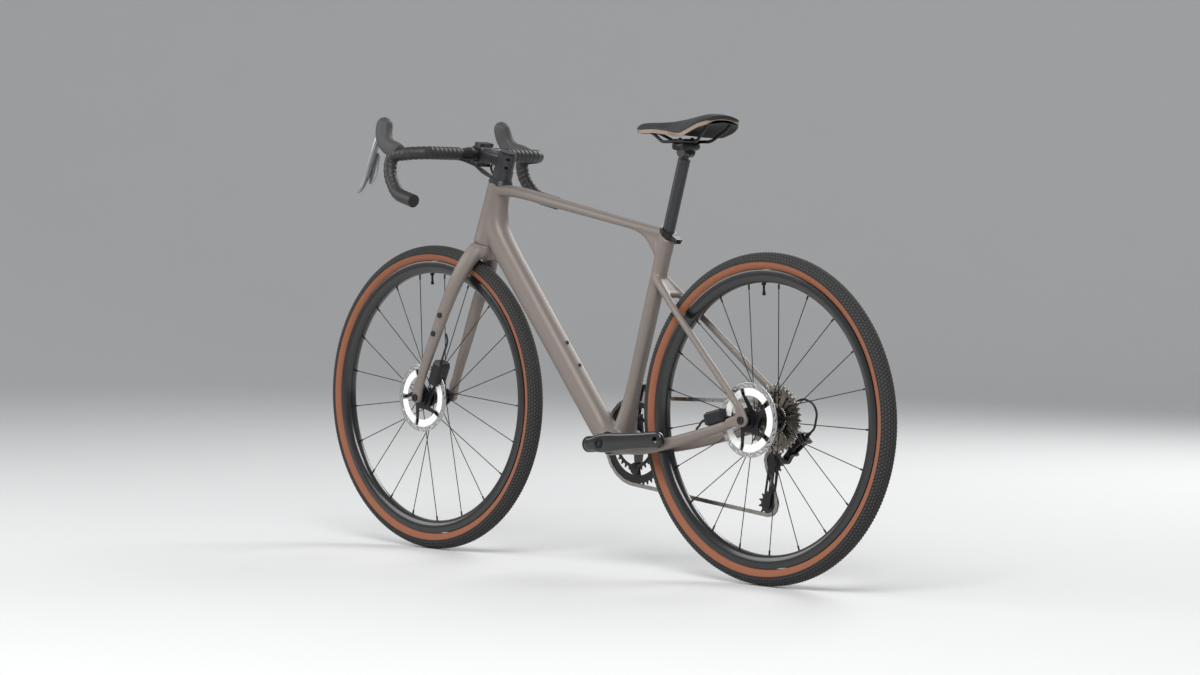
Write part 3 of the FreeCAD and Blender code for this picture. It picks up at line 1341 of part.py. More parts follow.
def crank_bolts():
    """Four ring bolts, the left arm's preload cap, and two pinch bolts on its clamp."""
    solids = []
    for angle in LUG_ANGLES:
        spot = polar(CRANK, angle, BOLTS, 0)
        shank = across(spot, SPIDER_IN - 7, SMALL_Y + RING_THICK / 2, 4)
        head = across(spot, SPIDER_IN - 9, SPIDER_IN - 7, 6)
        nut = across(spot, SMALL_Y + RING_THICK / 2, SMALL_Y + RING_THICK / 2 + 1.2, 6)
        sleeve = across(spot, CHAIN_Y + RING_THICK / 2, SMALL_Y - RING_THICK / 2, 6)
        solids.append(fused([shank, head, nut, sleeve]))
    cap = across(CRANK, SPINDLE_LEFT, ARM_OUT + 1.5, size("spindle_radius") - 0.5)
    solids.append(cap.cut(across(CRANK, ARM_OUT - 2, ARM_OUT + 4, 5)))
    for seat in crank_pinch_seats():
        solids.append(socket_bolt(seat, ARM_UP, 3.8, 3.4, 2.5, 23))
    return solids


group("crank_bolts", crank_bolts())

# Derailleur hanger between the right dropout and the axle's end
HANGER_BOLT = REAR + Vector(-10, 0, -29)
hanger = link(REAR, 13, HANGER_BOLT, 9, -REAR_HALF - HANGER_PLATE, -REAR_HALF)
hanger = hanger.cut(across(REAR, -90, 0, AXLE_HOLE))
node("derailleur_hanger", shaped("derailleur_hanger", hanger))

# Rear derailleur: a knuckle on the hanger, two swinging links, a carrier and the pulley cage
LINK_RUN = unit(Vector(0.77, 0, -0.64))
LINK_AXIS = Vector(-LINK_RUN.z, 0, LINK_RUN.x)
LINK_LENGTH = 46
MECH_Y = -REAR_HALF - HANGER_PLATE - 11
FIRST_PIVOT = HANGER_BOLT + Vector(-23, MECH_Y, -13)
SECOND_PIVOT = FIRST_PIVOT + LINK_RUN * LINK_LENGTH
LINK_SIDE = 11


def make_knuckle():
    """The fixed knuckle: a boss on the hanger, a body between the links and the cable's stop."""
    boss = across(HANGER_BOLT, MECH_Y - 4, -REAR_HALF - HANGER_PLATE, 9.5)
    neck_end = FIRST_PIVOT - LEFT * MECH_Y
    neck = link(HANGER_BOLT, 9, neck_end, 8, MECH_Y - 6, MECH_Y + 6)
    body = slab(FIRST_PIVOT, LINK_AXIS, 11, LINK_SIDE - 4.2, 7, 3)
    stop = rod(FIRST_PIVOT, FIRST_PIVOT + Vector(-14, 0, 11), 4)
    pins = []
    for way in (-1, 1):
        place = FIRST_PIVOT + LEFT * (way * LINK_SIDE)
        pins.append(rod(place - LINK_AXIS * 12, place + LINK_AXIS * 12, 1.8))
    ears = []
    for end in (-1, 1):
        ears.append(slab(FIRST_PIVOT + LINK_AXIS * (end * 10.5), LINK_AXIS, 1.5, LINK_SIDE + 4, 4.5, 3))
    return fused([boss, neck, body, stop] + pins + ears)


def mech_link(way):
    """One of the two flat links beside the knuckle, with an eye for its pin at the knuckle's end."""
    side = LEFT * (way * LINK_SIDE)
    middle = (FIRST_PIVOT + SECOND_PIVOT) * 0.5 + side
    bar = slab(middle, LINK_RUN, LINK_LENGTH / 2 - 5, 2, 7.5, 1.5)
    eyes = []
    for pivot in (FIRST_PIVOT, SECOND_PIVOT):
        eyes.append(rod(pivot + side - LINK_AXIS * 8, pivot + side + LINK_AXIS * 8, 3.6))
    strap = slab(middle, LINK_RUN, LINK_LENGTH / 2 - 1, 1.6, 6, 1.2)
    whole = fused([bar, strap] + eyes)
    holes = []
    for pivot, room in ((FIRST_PIVOT, FIT), (SECOND_PIVOT, 0.7)):
        holes.append(rod(pivot + side - LINK_AXIS * 14, pivot + side + LINK_AXIS * 14, 1.8 + room))
    return whole.cut(holes[0].fuse(holes[1]))


CAGE_OUTER = CHAIN_Y - 5
CAGE_INNER = CHAIN_Y + 5
CAGE_WALL = 2


def make_carrier():
    """The moving knuckle: a body between the links' lower ends and a boss at the guide pulley's axis."""
    body = slab(SECOND_PIVOT, LINK_AXIS, 6.5, LINK_SIDE - 4.2, 6, 3)
    low = CAGE_OUTER - CAGE_WALL - GAP
    boss = across(GUIDE, MECH_Y - 6, low, 9)
    arm = link(GUIDE, 9, SECOND_PIVOT - LEFT * SECOND_PIVOT.y, 7, MECH_Y - 6, MECH_Y + 6)
    pins = []
    ears = []
    for way in (-1, 1):
        place = SECOND_PIVOT + LEFT * (way * LINK_SIDE)
        pins.append(rod(place - LINK_AXIS * 12, place + LINK_AXIS * 12, 1.8))
    for end in (-1, 1):
        ears.append(slab(SECOND_PIVOT + LINK_AXIS * (end * 10.5), LINK_AXIS, 1.5, LINK_SIDE + 2, 3.5, 2))
    spine = slab(SECOND_PIVOT, LINK_AXIS, 11, 4, 4, 2)
    return fused([body, boss, arm, spine] + pins + ears)


def make_cage():
    """Two plates joined by the pulleys' bolts."""
    plates = []
    for low in (CAGE_OUTER - CAGE_WALL, CAGE_INNER):
        plate = link(GUIDE, 10, TENSION, 10, low, low + CAGE_WALL)
        span = TENSION - GUIDE
        window = link(GUIDE + span * 0.3, 5, GUIDE + span * 0.7, 5, low - 1, low + 4)
        plates.append(plate.cut(window))
    bolts = [across(spot, CAGE_OUTER - CAGE_WALL, CAGE_INNER + CAGE_WALL, 2.5) for spot in (GUIDE, TENSION)]
    return fused(plates + bolts)


node("rear_mech_knuckle", shaped("rear_mech_knuckle", make_knuckle()))
node("rear_mech_outer_link", shaped("rear_mech_outer_link", mech_link(-1)))
node("rear_mech_inner_link", shaped("rear_mech_inner_link", mech_link(1)))
node("rear_mech_carrier", shaped("rear_mech_carrier", make_carrier()))
node("rear_mech_cage", shaped("rear_mech_cage", make_cage()))
for label, centre in (("guide_pulley", GUIDE), ("tension_pulley", TENSION)):
    wheel = toothed_disc(centre, PULLEY, CHAIN_Y, 1.9, phase_of(centre), 2.5 + FIT)
    hub = ring(Vector(centre.x, CAGE_OUTER + 0.3, centre.z), Vector(centre.x, CAGE_INNER - 0.3, centre.z),
               6, 2.5 + FIT)
    node(label, shaped(label, fused([wheel, hub])))

# Shift housing: out of the right dropout's rear, round in a loop and into the derailleur's cable stop
stop_end = FIRST_PIVOT + Vector(-14, 0, 11)
housing_start = REAR + Vector(-8, -REAR_HALF - DROPOUT + 4, 33)
housing = pipe([
    housing_start,
    housing_start + Vector(-26, -2, 10),
    housing_start + Vector(-52, -4, 2),
    housing_start + Vector(-62, -6, -20),
    stop_end + Vector(-13, 0, 10.2),
    stop_end + Vector(-0.3, 0, 0.25),
], 26, HOSE_RADIUS)
group("rear_cables", [rear_hose, housing])

# Front derailleur: a base on the seat tube and a cage that swings over the large ring
MECH_HINGE = on_seat(118) + Vector(-4, -31.6, 10)
RING_TOP = pitch_radius(RING) + 6
seat_face = on_seat(112) + LEFT * -(size("seat_tube_half_width") + 3.6)


def make_mech_base():
    """A block on the seat tube's right side with the swing's pin."""
    foot = slab(seat_face + LEFT * -3, SEAT_UP, 15, 3, 8, 2)
    arm = slab(Vector(MECH_HINGE.x, (MECH_HINGE.y + seat_face.y) / 2 - 3, MECH_HINGE.z), FORWARD, 5, 8, 5, 2)
    pin = rod(MECH_HINGE - FORWARD * 12, MECH_HINGE + FORWARD * 12, 2)
    return fused([foot, arm, pin])


def plate_arc(side, inner, outer, first, last):
    """A curved plate concentric with the chainring, drawn as two arcs and two ends."""
    def at(degrees, radius):
        return polar(CRANK, degrees, radius, side)
    middle = (first + last) / 2
    outline = [
        Part.Arc(at(first, outer), at(middle, outer), at(last, outer)).toShape(),
        Part.LineSegment(at(last, outer), at(last, inner)).toShape(),
        Part.Arc(at(last, inner), at(middle, inner), at(first, inner)).toShape(),
        Part.LineSegment(at(first, inner), at(first, outer)).toShape(),
    ]
    return Part.Face(Part.Wire(outline)).extrude(LEFT * 1.5)


def swing_cage():
    """The front derailleur's moving piece: plates, bridge and an arm with two eyes on the pin."""
    outer = plate_arc(CHAIN_Y - 7, RING_TOP - 10, RING_TOP + 14, 84, 128)
    inner = plate_arc(CHAIN_Y + 5.5, RING_TOP - 14, RING_TOP + 18, 84, 126)
    bridge_at = polar(CRANK, 100, RING_TOP + 10, 0)
    bridge = across(bridge_at, CHAIN_Y - 7, CHAIN_Y + 7, 3)
    eyes = []
    for way in (-1, 1):
        start = MECH_HINGE + FORWARD * (way * 5.6)
        eyes.append(rod(start, MECH_HINGE + FORWARD * (way * 10.5), 5))
    link_foot = polar(CRANK, 105, RING_TOP + 12, CHAIN_Y + 6.2)
    arm = tube([
        (MECH_HINGE + FORWARD * 8 + Vector(0, -3, 0), 2.4, 2.4, 1.5),
        (Vector(MECH_HINGE.x + 8, link_foot.y + 1, link_foot.z + 2), 2.4, 2.4, 1.5),
    ])
    arm_rear = tube([
        (MECH_HINGE - FORWARD * 8 + Vector(0, -3, 0), 2.4, 2.4, 1.5),
        (Vector(MECH_HINGE.x - 8, link_foot.y + 1, link_foot.z + 2), 2.4, 2.4, 1.5),
    ])
    whole = fused([outer, inner, bridge, arm, arm_rear] + eyes)
    return whole.cut(rod(MECH_HINGE - FORWARD * 14, MECH_HINGE + FORWARD * 14, 2 + FIT))


node("front_mech_base", shaped("front_mech_base", make_mech_base()))
node("front_mech_cage", shaped("front_mech_cage", swing_cage()))

# Seat clamp: a sloping collar round the seatpost with a lug for its bolt behind
CLAMP_RISE = 11
clamp_frame = Placement(SEAT_TOP, seat_cap_slope())
collar = Part.makeBox(120, 44, CLAMP_RISE, Vector(-60, -22, FIT))
collar.Placement = clamp_frame
around = rod(SEAT_TOP - SEAT_UP * 60, SEAT_TOP + SEAT_UP * 60, 19.5)
lug = Part.makeBox(18, 18, CLAMP_RISE, Vector(-36, -9, FIT))
lug.Placement = clamp_frame
seat_clamp = fused([collar.common(around), lug])
seat_clamp = seat_clamp.cut(rod(SEAT_TOP - SEAT_UP * 60, SEAT_TOP + SEAT_UP * 60, POST_BORE))
clamp_out = seat_cap_slope().multVec(FORWARD) * -1
lug_end = SEAT_TOP + seat_cap_slope().multVec(Vector(-36, 0, CLAMP_RISE / 2))
seat_clamp = seat_clamp.cut(rod(lug_end + clamp_out, lug_end - clamp_out * 13, 2.5 + FIT))
node("seat_clamp", shaped("seat_clamp", seat_clamp))

# Frame bolts: one in each of two bottle bosses, and the seat clamp's
frame_bolts = []
for spot in bottle_spots():
    frame_bolts.append(socket_bolt(spot, bottle_out(), 4.5, 2.6, BOTTLE_BOLT, 10))
frame_bolts.append(socket_bolt(lug_end + clamp_out * FIT, clamp_out, 4, 3, 2.5, 12))
group("frame_bolts", frame_bolts)


def steering_bolts():
    """Four faceplate bolts and two bolts across the back of the stem's steerer clamp."""
    bolts = []
    for spot in faceplate_spots():
        bolts.append(socket_bolt(spot, STEM_OUT, STEM_BOLT_HEAD, 3.5, STEM_BOLT, 2 * LUG_HALF - 1))
    for spot in pinch_spots():
        bolts.append(socket_bolt(spot + LEFT * 7, LEFT, 3.4, 3.5, STEM_BOLT - 0.5, 17))
    return bolts


group("steering_bolts", steering_bolts())

# Seatpost: a tube with a cross head that the saddle's cradle tilts on
HEAD_RADIUS = 12
POST_TOP = on_seat(size("post_height"))
POST_FOOT = POST_TOP - SEAT_UP * size("post_length")
POST_SHOULDER = POST_TOP - SEAT_UP * 16
post = ring(POST_FOOT, POST_SHOULDER, size("post_radius"), size("post_radius") - 2.4)
post_head = across(POST_TOP, -17, 17, HEAD_RADIUS)
post_plug = rod(POST_TOP - SEAT_UP * 26, POST_SHOULDER, size("post_radius"))
post_neck = rod(POST_SHOULDER - SEAT_UP * 3, POST_TOP, 9)
node("seatpost", shaped("seatpost", fused([post, post_plug, post_neck, post_head])))

# Saddle clamp: a lower cradle on the head, an upper plate over the rails and two bolts
RAIL = size("rail_radius")
RAIL_Y = size("rail_half_gap")
RAIL_Z = POST_TOP.z + HEAD_RADIUS + 10
CRADLE_HALF = 23
BOLT_REACH = 18


def clamp_plate(low, high, half_length, half_width):
    """A flat block over the post's head with grooves for the rails."""
    block = Part.makeBox(2 * half_length, 2 * half_width, high - low,
                         Vector(POST_TOP.x - half_length, -half_width, low))
    upright = [edge for edge in block.Edges if abs(edge.tangentAt(edge.FirstParameter).z) > 0.9]
    block = block.makeFillet(6, upright)
    for way in (-1, 1):
        middle = Vector(POST_TOP.x, way * RAIL_Y, RAIL_Z)
        block = block.cut(rod(middle - FORWARD * 60, middle + FORWARD * 60, RAIL + FIT))
    return block


cradle = clamp_plate(POST_TOP.z + 4, RAIL_Z - 0.5, CRADLE_HALF, RAIL_Y + 5)
cradle = cradle.cut(across(POST_TOP, -60, 60, HEAD_RADIUS + 0.1))
upper = clamp_plate(RAIL_Z + 0.5, RAIL_Z + 6, CRADLE_HALF, RAIL_Y + 5)
clamp_bolts = []
for way in (-1, 1):
    spot = Vector(POST_TOP.x + way * BOLT_REACH, 0, 0)
    foot = Vector(spot.x, 0, POST_TOP.z - 7)
    top = Vector(spot.x, 0, RAIL_Z + 6)
    cradle = cradle.cut(rod(foot, top, 2.5 + FIT))
    upper = upper.cut(rod(foot, top, 2.5 + FIT))
    screw = rod(foot, top, 2.5)
    nut = across(Vector(spot.x, 0, POST_TOP.z - 4), -6, 6, 3.4)
    head = rod(top, top + UP * 3, 4)
    clamp_bolts.append(fused([screw, nut, head]))
group("saddle_clamp", [cradle, upper] + clamp_bolts)

# Saddle: rails, shell and padded cover, lofted through sections from nose to tail
NOSE_X = POST_TOP.x + 141.5
SADDLE_Z = RAIL_Z + 47
WIDE = size("saddle_half_width")
LONG = size("saddle_length")
# Each row: share of the length, half width share, crown height, edge height
SADDLE_ROWS = (
    (0.00, 0.20, -12, -16),
    (0.05, 0.27, -6, -16),
    (0.25, 0.31, -4, -15),
    (0.45, 0.42, -2, -20),
    (0.62, 0.72, 2, -26),
    (0.75, 0.97, 7, -27),
    (0.90, 0.99, 13, -10),
    (1.00, 0.72, 8, 0),
)
PAD = 9
SHELL = 2.5


def saddle_section(row, top_drop, bottom_drop, inset):
    """A crowned section: an arc over the top, short sides and an arc underneath."""
    share, width, crown, edge = row
    x = NOSE_X - share * LONG
    half = width * WIDE - inset
    top_mid = Vector(x, 0, SADDLE_Z + crown - top_drop)
    top_left = Vector(x, half, SADDLE_Z + edge - top_drop)
    top_right = Vector(x, -half, SADDLE_Z + edge - top_drop)
    low_mid = Vector(x, 0, SADDLE_Z + crown - bottom_drop)
    low_left = Vector(x, half - 1.5, SADDLE_Z + edge - bottom_drop)
    low_right = Vector(x, 1.5 - half, SADDLE_Z + edge - bottom_drop)
    return Part.Wire([
        Part.Arc(top_left, top_mid, top_right).toShape(),
        Part.LineSegment(top_right, low_right).toShape(),
        Part.Arc(low_right, low_mid, low_left).toShape(),
        Part.LineSegment(low_left, top_left).toShape(),
    ])


cover_wires = [saddle_section(row, 0, PAD, 0) for row in SADDLE_ROWS]
shell_wires = [saddle_section(row, PAD + 0.2, PAD + SHELL + 0.2, 2) for row in SADDLE_ROWS]
node("saddle_cover", shaped("saddle_cover", Part.makeLoft(cover_wires, True, True)))
node("saddle_shell", shaped("saddle_shell", Part.makeLoft(shell_wires, True, True)))


def saddle_rail():
    """The left rail: up to the nose in front, straight through the clamp and up to the tail."""
    return pipe([
        Vector(NOSE_X - 26, 7, SADDLE_Z - 23),
        Vector(NOSE_X - 52, 11, SADDLE_Z - 28),
        Vector(POST_TOP.x + 50, RAIL_Y, RAIL_Z),
        Vector(POST_TOP.x - 52, RAIL_Y, RAIL_Z),
        Vector(POST_TOP.x - 86, RAIL_Y + 12, RAIL_Z + 24),
        Vector(POST_TOP.x - 96, RAIL_Y + 14, RAIL_Z + 36),
    ], 26, RAIL)


rail = saddle_rail()
group("saddle_rails", [rail, mirrored(rail)])

doc.recompute()
for item in doc.Objects:
    if "Invalid" in item.State or "Error" in item.State:
        raise RuntimeError(f"{item.Label} failed: {item.State}")
for item in nodes:
    if item.Shape.isNull() or not item.Shape.isValid() or not item.Shape.Solids:
        raise RuntimeError(f"{item.Label} has no valid solid")
os.makedirs("parts", exist_ok=True)
for item in nodes:
    item.Shape.exportStep(f"parts/{item.Label}.step")
    print(f"{item.Label}: {len(item.Shape.Solids)} solids, {item.Shape.Volume / 1000:.1f} cm3")
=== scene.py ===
# %% [markdown]
# # A gravel bike, dressed for the studio
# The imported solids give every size, joint and fit. This lesson keeps them where they are and adds the forms
# that a moulded frame, a treaded tyre, wrapped tape and a padded saddle need. Each new form is a surface
# worked out with numpy, and rides on the rigid body whose solid it stands for.
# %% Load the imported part
import math

import bpy
import numpy as np
from mathutils import Matrix, Vector


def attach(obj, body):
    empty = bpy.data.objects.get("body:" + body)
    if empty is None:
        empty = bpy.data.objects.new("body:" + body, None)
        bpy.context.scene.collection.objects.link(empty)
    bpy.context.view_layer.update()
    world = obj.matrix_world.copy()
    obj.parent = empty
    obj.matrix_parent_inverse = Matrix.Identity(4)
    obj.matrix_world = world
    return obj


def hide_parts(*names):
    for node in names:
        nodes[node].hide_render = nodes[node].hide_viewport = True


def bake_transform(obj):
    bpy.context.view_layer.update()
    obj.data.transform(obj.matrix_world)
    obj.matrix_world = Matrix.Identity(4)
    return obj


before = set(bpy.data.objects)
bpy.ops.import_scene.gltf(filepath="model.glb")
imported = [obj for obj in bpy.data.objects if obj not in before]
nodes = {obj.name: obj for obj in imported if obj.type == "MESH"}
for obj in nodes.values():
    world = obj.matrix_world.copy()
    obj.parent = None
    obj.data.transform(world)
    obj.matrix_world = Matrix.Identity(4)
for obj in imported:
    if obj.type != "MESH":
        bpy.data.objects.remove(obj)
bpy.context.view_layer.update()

# %% [markdown]
# ## Points that the forms share
# All lengths are millimetres until a mesh is written. X points forward, Y to the left and Z up, and the
# origin is on the floor midway between the axles.
# %% Layout
MM = 0.001
WHEEL_RADIUS = 355.0
HALF_WHEELBASE = 523.5
FORK_OFFSET = 47
CROWN_RISE = 361
HEAD_LENGTH = 145
SEAT_LENGTH = 478
POST_REACH = 665.8
STEM_RISE = 53
STEM_REACH = 80
STEM_ANGLE = math.radians(12.5)
REAR = np.array([-HALF_WHEELBASE, 0.0, WHEEL_RADIUS])
FRONT = np.array([HALF_WHEELBASE, 0.0, WHEEL_RADIUS])
CRANK = np.array([-94.0, 0.0, 283.0])
HEAD_ANGLE = math.radians(71.5)
SEAT_ANGLE = math.radians(74)
HEAD_UP = np.array([-math.cos(HEAD_ANGLE), 0.0, math.sin(HEAD_ANGLE)])
HEAD_AHEAD = np.array([math.sin(HEAD_ANGLE), 0.0, math.cos(HEAD_ANGLE)])
SEAT_UP = np.array([-math.cos(SEAT_ANGLE), 0.0, math.sin(SEAT_ANGLE)])
STEER_FOOT = FRONT - np.array([FORK_OFFSET / math.sin(HEAD_ANGLE), 0.0, 0.0])
HEAD_FOOT = STEER_FOOT + HEAD_UP * (CROWN_RISE / HEAD_UP[2])
HEAD_TOP = HEAD_FOOT + HEAD_UP * HEAD_LENGTH
SEAT_TOP = CRANK + SEAT_UP * SEAT_LENGTH
POST_TOP = CRANK + SEAT_UP * POST_REACH
STEM_MID = HEAD_TOP + HEAD_UP * STEM_RISE
BAR = STEM_MID + STEM_REACH * np.array([math.cos(STEM_ANGLE), 0.0, math.sin(STEM_ANGLE)])
LEFT = np.array([0.0, 1.0, 0.0])
MIRROR = np.array([1.0, -1.0, 1.0])

# %% [markdown]
# ## Tools for surfaces
# A tube is a row of rounded sections carried along a smooth line. A section is a superellipse,
# |a/A|^p + |b/B|^p = 1: p = 2 is an ellipse, and a larger p is squarer.
# %% Surface tools


def unit(vectors):
    """Every vector at length one."""
    return vectors / np.linalg.norm(vectors, axis=-1, keepdims=True)


def spline(rows, count):
    """Natural cubic spline through the rows of an array, read at evenly spaced places.

    Rows sit at their chord lengths, with steps h. Second derivatives m solve
    h0 m0 + 2 (h0 + h1) m1 + h1 m2 = 6 (slope1 - slope0), and are 0 at both ends.
    """
    rows = np.asarray(rows, float)
    places = np.append(0, np.cumsum(np.linalg.norm(np.diff(rows[:, :3], axis=0), axis=1)))
    h = np.diff(places)
    slope = np.diff(rows, axis=0) / h[:, None]
    system = np.eye(len(rows))
    right = np.zeros_like(rows)
    for i in range(1, len(rows) - 1):
        system[i, i - 1:i + 2] = h[i - 1], 2 * (h[i - 1] + h[i]), h[i]
        right[i] = 6 * (slope[i] - slope[i - 1])
    m = np.linalg.solve(system, right)
    at = np.linspace(0, places[-1], count)
    k = np.clip(np.searchsorted(places, at, "right") - 1, 0, len(h) - 1)
    x = ((at - places[k]) / h[k])[:, None]
    bend = h[k][:, None] ** 2 / 6
    straight = rows[k] * (1 - x) + rows[k + 1] * x
    return straight + bend * (m[k] * ((1 - x) ** 3 - (1 - x)) + m[k + 1] * (x ** 3 - x))


def grid_faces(rows, columns, wrap_rows=False, wrap_columns=True):
    """Quads between neighbours of a grid of points."""
    i = np.arange(rows if wrap_rows else rows - 1)
    j = np.arange(columns if wrap_columns else columns - 1)
    a, b = np.meshgrid(i, j, indexing="ij")
    after_a = (a + 1) % rows
    after_b = (b + 1) % columns
    row = a * columns
    after_row = after_a * columns
    quads = np.stack([row + b, row + after_b, after_row + after_b, after_row + b], -1)
    return quads.reshape(-1, 4).tolist()


def closed_loft(sections):
    """A closed surface through sections (n, m, 3), with a fan at each end."""
    count, around = sections.shape[:2]
    points = np.concatenate([sections.reshape(-1, 3), sections[:1].mean(1), sections[-1:].mean(1)])
    faces = grid_faces(count, around)
    first = count * around
    for j in range(around):
        after = (j + 1) % around
        faces.append([first, after, j])
        faces.append([first + 1, first - around + j, first - around + after])
    return points, faces


def superellipse(count, power):
    """Unit section: cos and sin of the angle, each raised to 2 / power with its sign kept."""
    angle = np.linspace(0, 2 * math.pi, count, endpoint=False)
    sides = [np.sign(w) * np.abs(w) ** (2 / power) for w in (np.cos(angle), np.sin(angle))]
    return np.stack(sides, -1)


def tube(stations, power=2.6, steps=48, around=40):
    """A closed tube through stations of (x, y, z, half side, half up); its sides face along Y."""
    rows = spline(stations, steps)
    run = unit(np.gradient(rows[:, :3], axis=0))
    side = unit(LEFT - run * run[:, 1:2])
    up = np.cross(run, side)
    section = superellipse(around, power)
    across = side[:, None] * (rows[:, None, 3:4] * section[None, :, :1])
    above = up[:, None] * (rows[:, None, 4:5] * section[None, :, 1:])
    return closed_loft(rows[:, None, :3] + across + above)


def carried_frames(path):
    """Normals along a path, each the last one with its part along the new direction taken out."""
    run = unit(np.gradient(path, axis=0))
    normal = np.empty_like(path)
    start = np.cross(run[0], [0.31, 0.2, 0.93])
    for i, ahead in enumerate(run):
        start = unit(start - ahead * start.dot(ahead))
        normal[i] = start
    return normal, np.cross(run, normal)


def sweep(path, radius, around=20):
    """A closed round bar along a path; radius is one number or one row per place and column per angle."""
    normal, other = carried_frames(path)
    angle = np.linspace(0, 2 * math.pi, around, endpoint=False)
    ring = normal[:, None] * np.cos(angle)[None, :, None] + other[:, None] * np.sin(angle)[None, :, None]
    width = np.broadcast_to(radius, (len(path), around))
    return closed_loft(path[:, None] + ring * width[:, :, None])


def bar_across(centre, low, high, radius):
    """A round bar along Y."""
    return sweep(np.linspace(centre + LEFT * low, centre + LEFT * high, 3), radius, 48)


def rounded_path(points, radius, step):
    """Straight runs with tangent arcs at the corners, as points about one step apart."""
    points = np.asarray(points, float)
    line = [points[:1]]
    for before, corner, after in zip(points, points[1:], points[2:]):
        back = unit(before - corner)
        ahead = unit(after - corner)
        half = math.acos(np.clip(back.dot(ahead), -1, 1)) / 2
        room = 0.45 * min(np.linalg.norm(before - corner), np.linalg.norm(after - corner))
        bend = min(radius, room * math.tan(half))
        middle = corner + unit(back + ahead) * (bend / math.sin(half))
        turn = np.linspace(-1, 1, 15)[:, None] * (math.pi / 2 - half)
        inward = -unit(back + ahead)
        sideways = unit(ahead - back)
        line.append(middle + bend * (inward * np.cos(turn) + sideways * np.sin(turn)))
    line.append(points[-1:])
    line = np.concatenate(line)
    places = np.append(0, np.cumsum(np.linalg.norm(np.diff(line, axis=0), axis=1)))
    at = np.linspace(0, places[-1], max(2, int(places[-1] / step)))
    return np.stack([np.interp(at, places, line[:, k]) for k in range(3)], -1)


def turned(profile, centre, count, closed=False):
    """A surface turned about a wheel's axle from rows of (radius, y)."""
    profile = np.asarray(profile, float)
    angle = np.linspace(0, 2 * math.pi, count, endpoint=False)[:, None]
    radius = profile[None, :, 0]
    points = np.stack([radius * np.cos(angle), np.broadcast_to(profile[None, :, 1], (count, len(profile))),
                       radius * np.sin(angle)], -1)
    faces = grid_faces(count, len(profile), wrap_rows=True, wrap_columns=closed)
    return points.reshape(-1, 3) + centre, faces


def flat_plate(outline, low, high):
    """A plate along Y from an outline of (x, z), closed by its two faces."""
    outline = np.asarray(outline, float)
    count = len(outline)
    rows = [np.stack([outline[:, 0], np.full(count, y), outline[:, 1]], -1) for y in (low, high)]
    faces = grid_faces(2, count)
    faces.append(list(range(count)))
    faces.append(list(range(2 * count - 1, count - 1, -1)))
    return np.concatenate(rows), faces


def hull_outline(first, first_radius, second, second_radius, count=24):
    """Outline of two discs and the tangents between them, in the XZ plane."""
    first = np.asarray(first, float)[[0, -1]]
    second = np.asarray(second, float)[[0, -1]]
    span = second - first
    heading = math.atan2(span[1], span[0])
    tilt = math.acos((first_radius - second_radius) / np.linalg.norm(span))
    ahead = np.linspace(-tilt, tilt, count) + heading
    behind = np.linspace(tilt, 2 * math.pi - tilt, count) + heading
    ends = [second + second_radius * np.stack([np.cos(ahead), np.sin(ahead)], -1),
            first + first_radius * np.stack([np.cos(behind), np.sin(behind)], -1)]
    return np.concatenate(ends)


def mirrored(surface):
    """The same surface on the other side, with its faces turned to keep them outward."""
    points, faces = surface
    return points * MIRROR, [face[::-1] for face in faces]


def both_sides(surfaces):
    """Surfaces and their mirror images."""
    return surfaces + [mirrored(item) for item in surfaces]


def piece(name, surfaces, material, body, replaces=(), sharp=None):
    """Writes surfaces as one smooth-shaded mesh that rides on a body and stands for CAD nodes."""
    points = np.concatenate([item[0] for item in surfaces])
    faces = []
    offset = 0
    for item in surfaces:
        faces += [[offset + k for k in face] for face in item[1]]
        offset += len(item[0])
    mesh = bpy.data.meshes.new(name)
    mesh.from_pydata((points * MM).tolist(), [], faces)
    mesh.shade_smooth()
    if sharp:
        mesh.set_sharp_from_angle(angle=math.radians(sharp))
    made = bpy.data.objects.new(name, mesh)
    bpy.context.scene.collection.objects.link(made)
    mesh.materials.append(material)
    if body:
        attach(made, body)
    if replaces:
        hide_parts(*replaces)
    return made


def join_skin(made, voxel, passes):
    """Fuses overlapping tubes into one moulded skin: a voxel surface, then smoothing for the fillets."""
    join = made.modifiers.new("join", "REMESH")
    join.mode = "VOXEL"
    join.voxel_size = voxel * MM
    join.use_smooth_shade = True
    soften = made.modifiers.new("soften", "SMOOTH")
    soften.factor = 0.5
    soften.iterations = passes


# %% [markdown]
# ## Materials
# One node group adds a fine grain to colour and roughness and gives a height for bumps. Each material sets
# its own colour and feeds it through the group, on object coordinates.
# %% Materials


def colour(red, green, blue):
    """A display colour of 0 to 255 as linear light."""
    values = np.array([red, green, blue]) / 255
    linear = np.where(values <= 0.04045, values / 12.92, ((values + 0.055) / 1.055) ** 2.4)
    return (*linear.tolist(), 1.0)


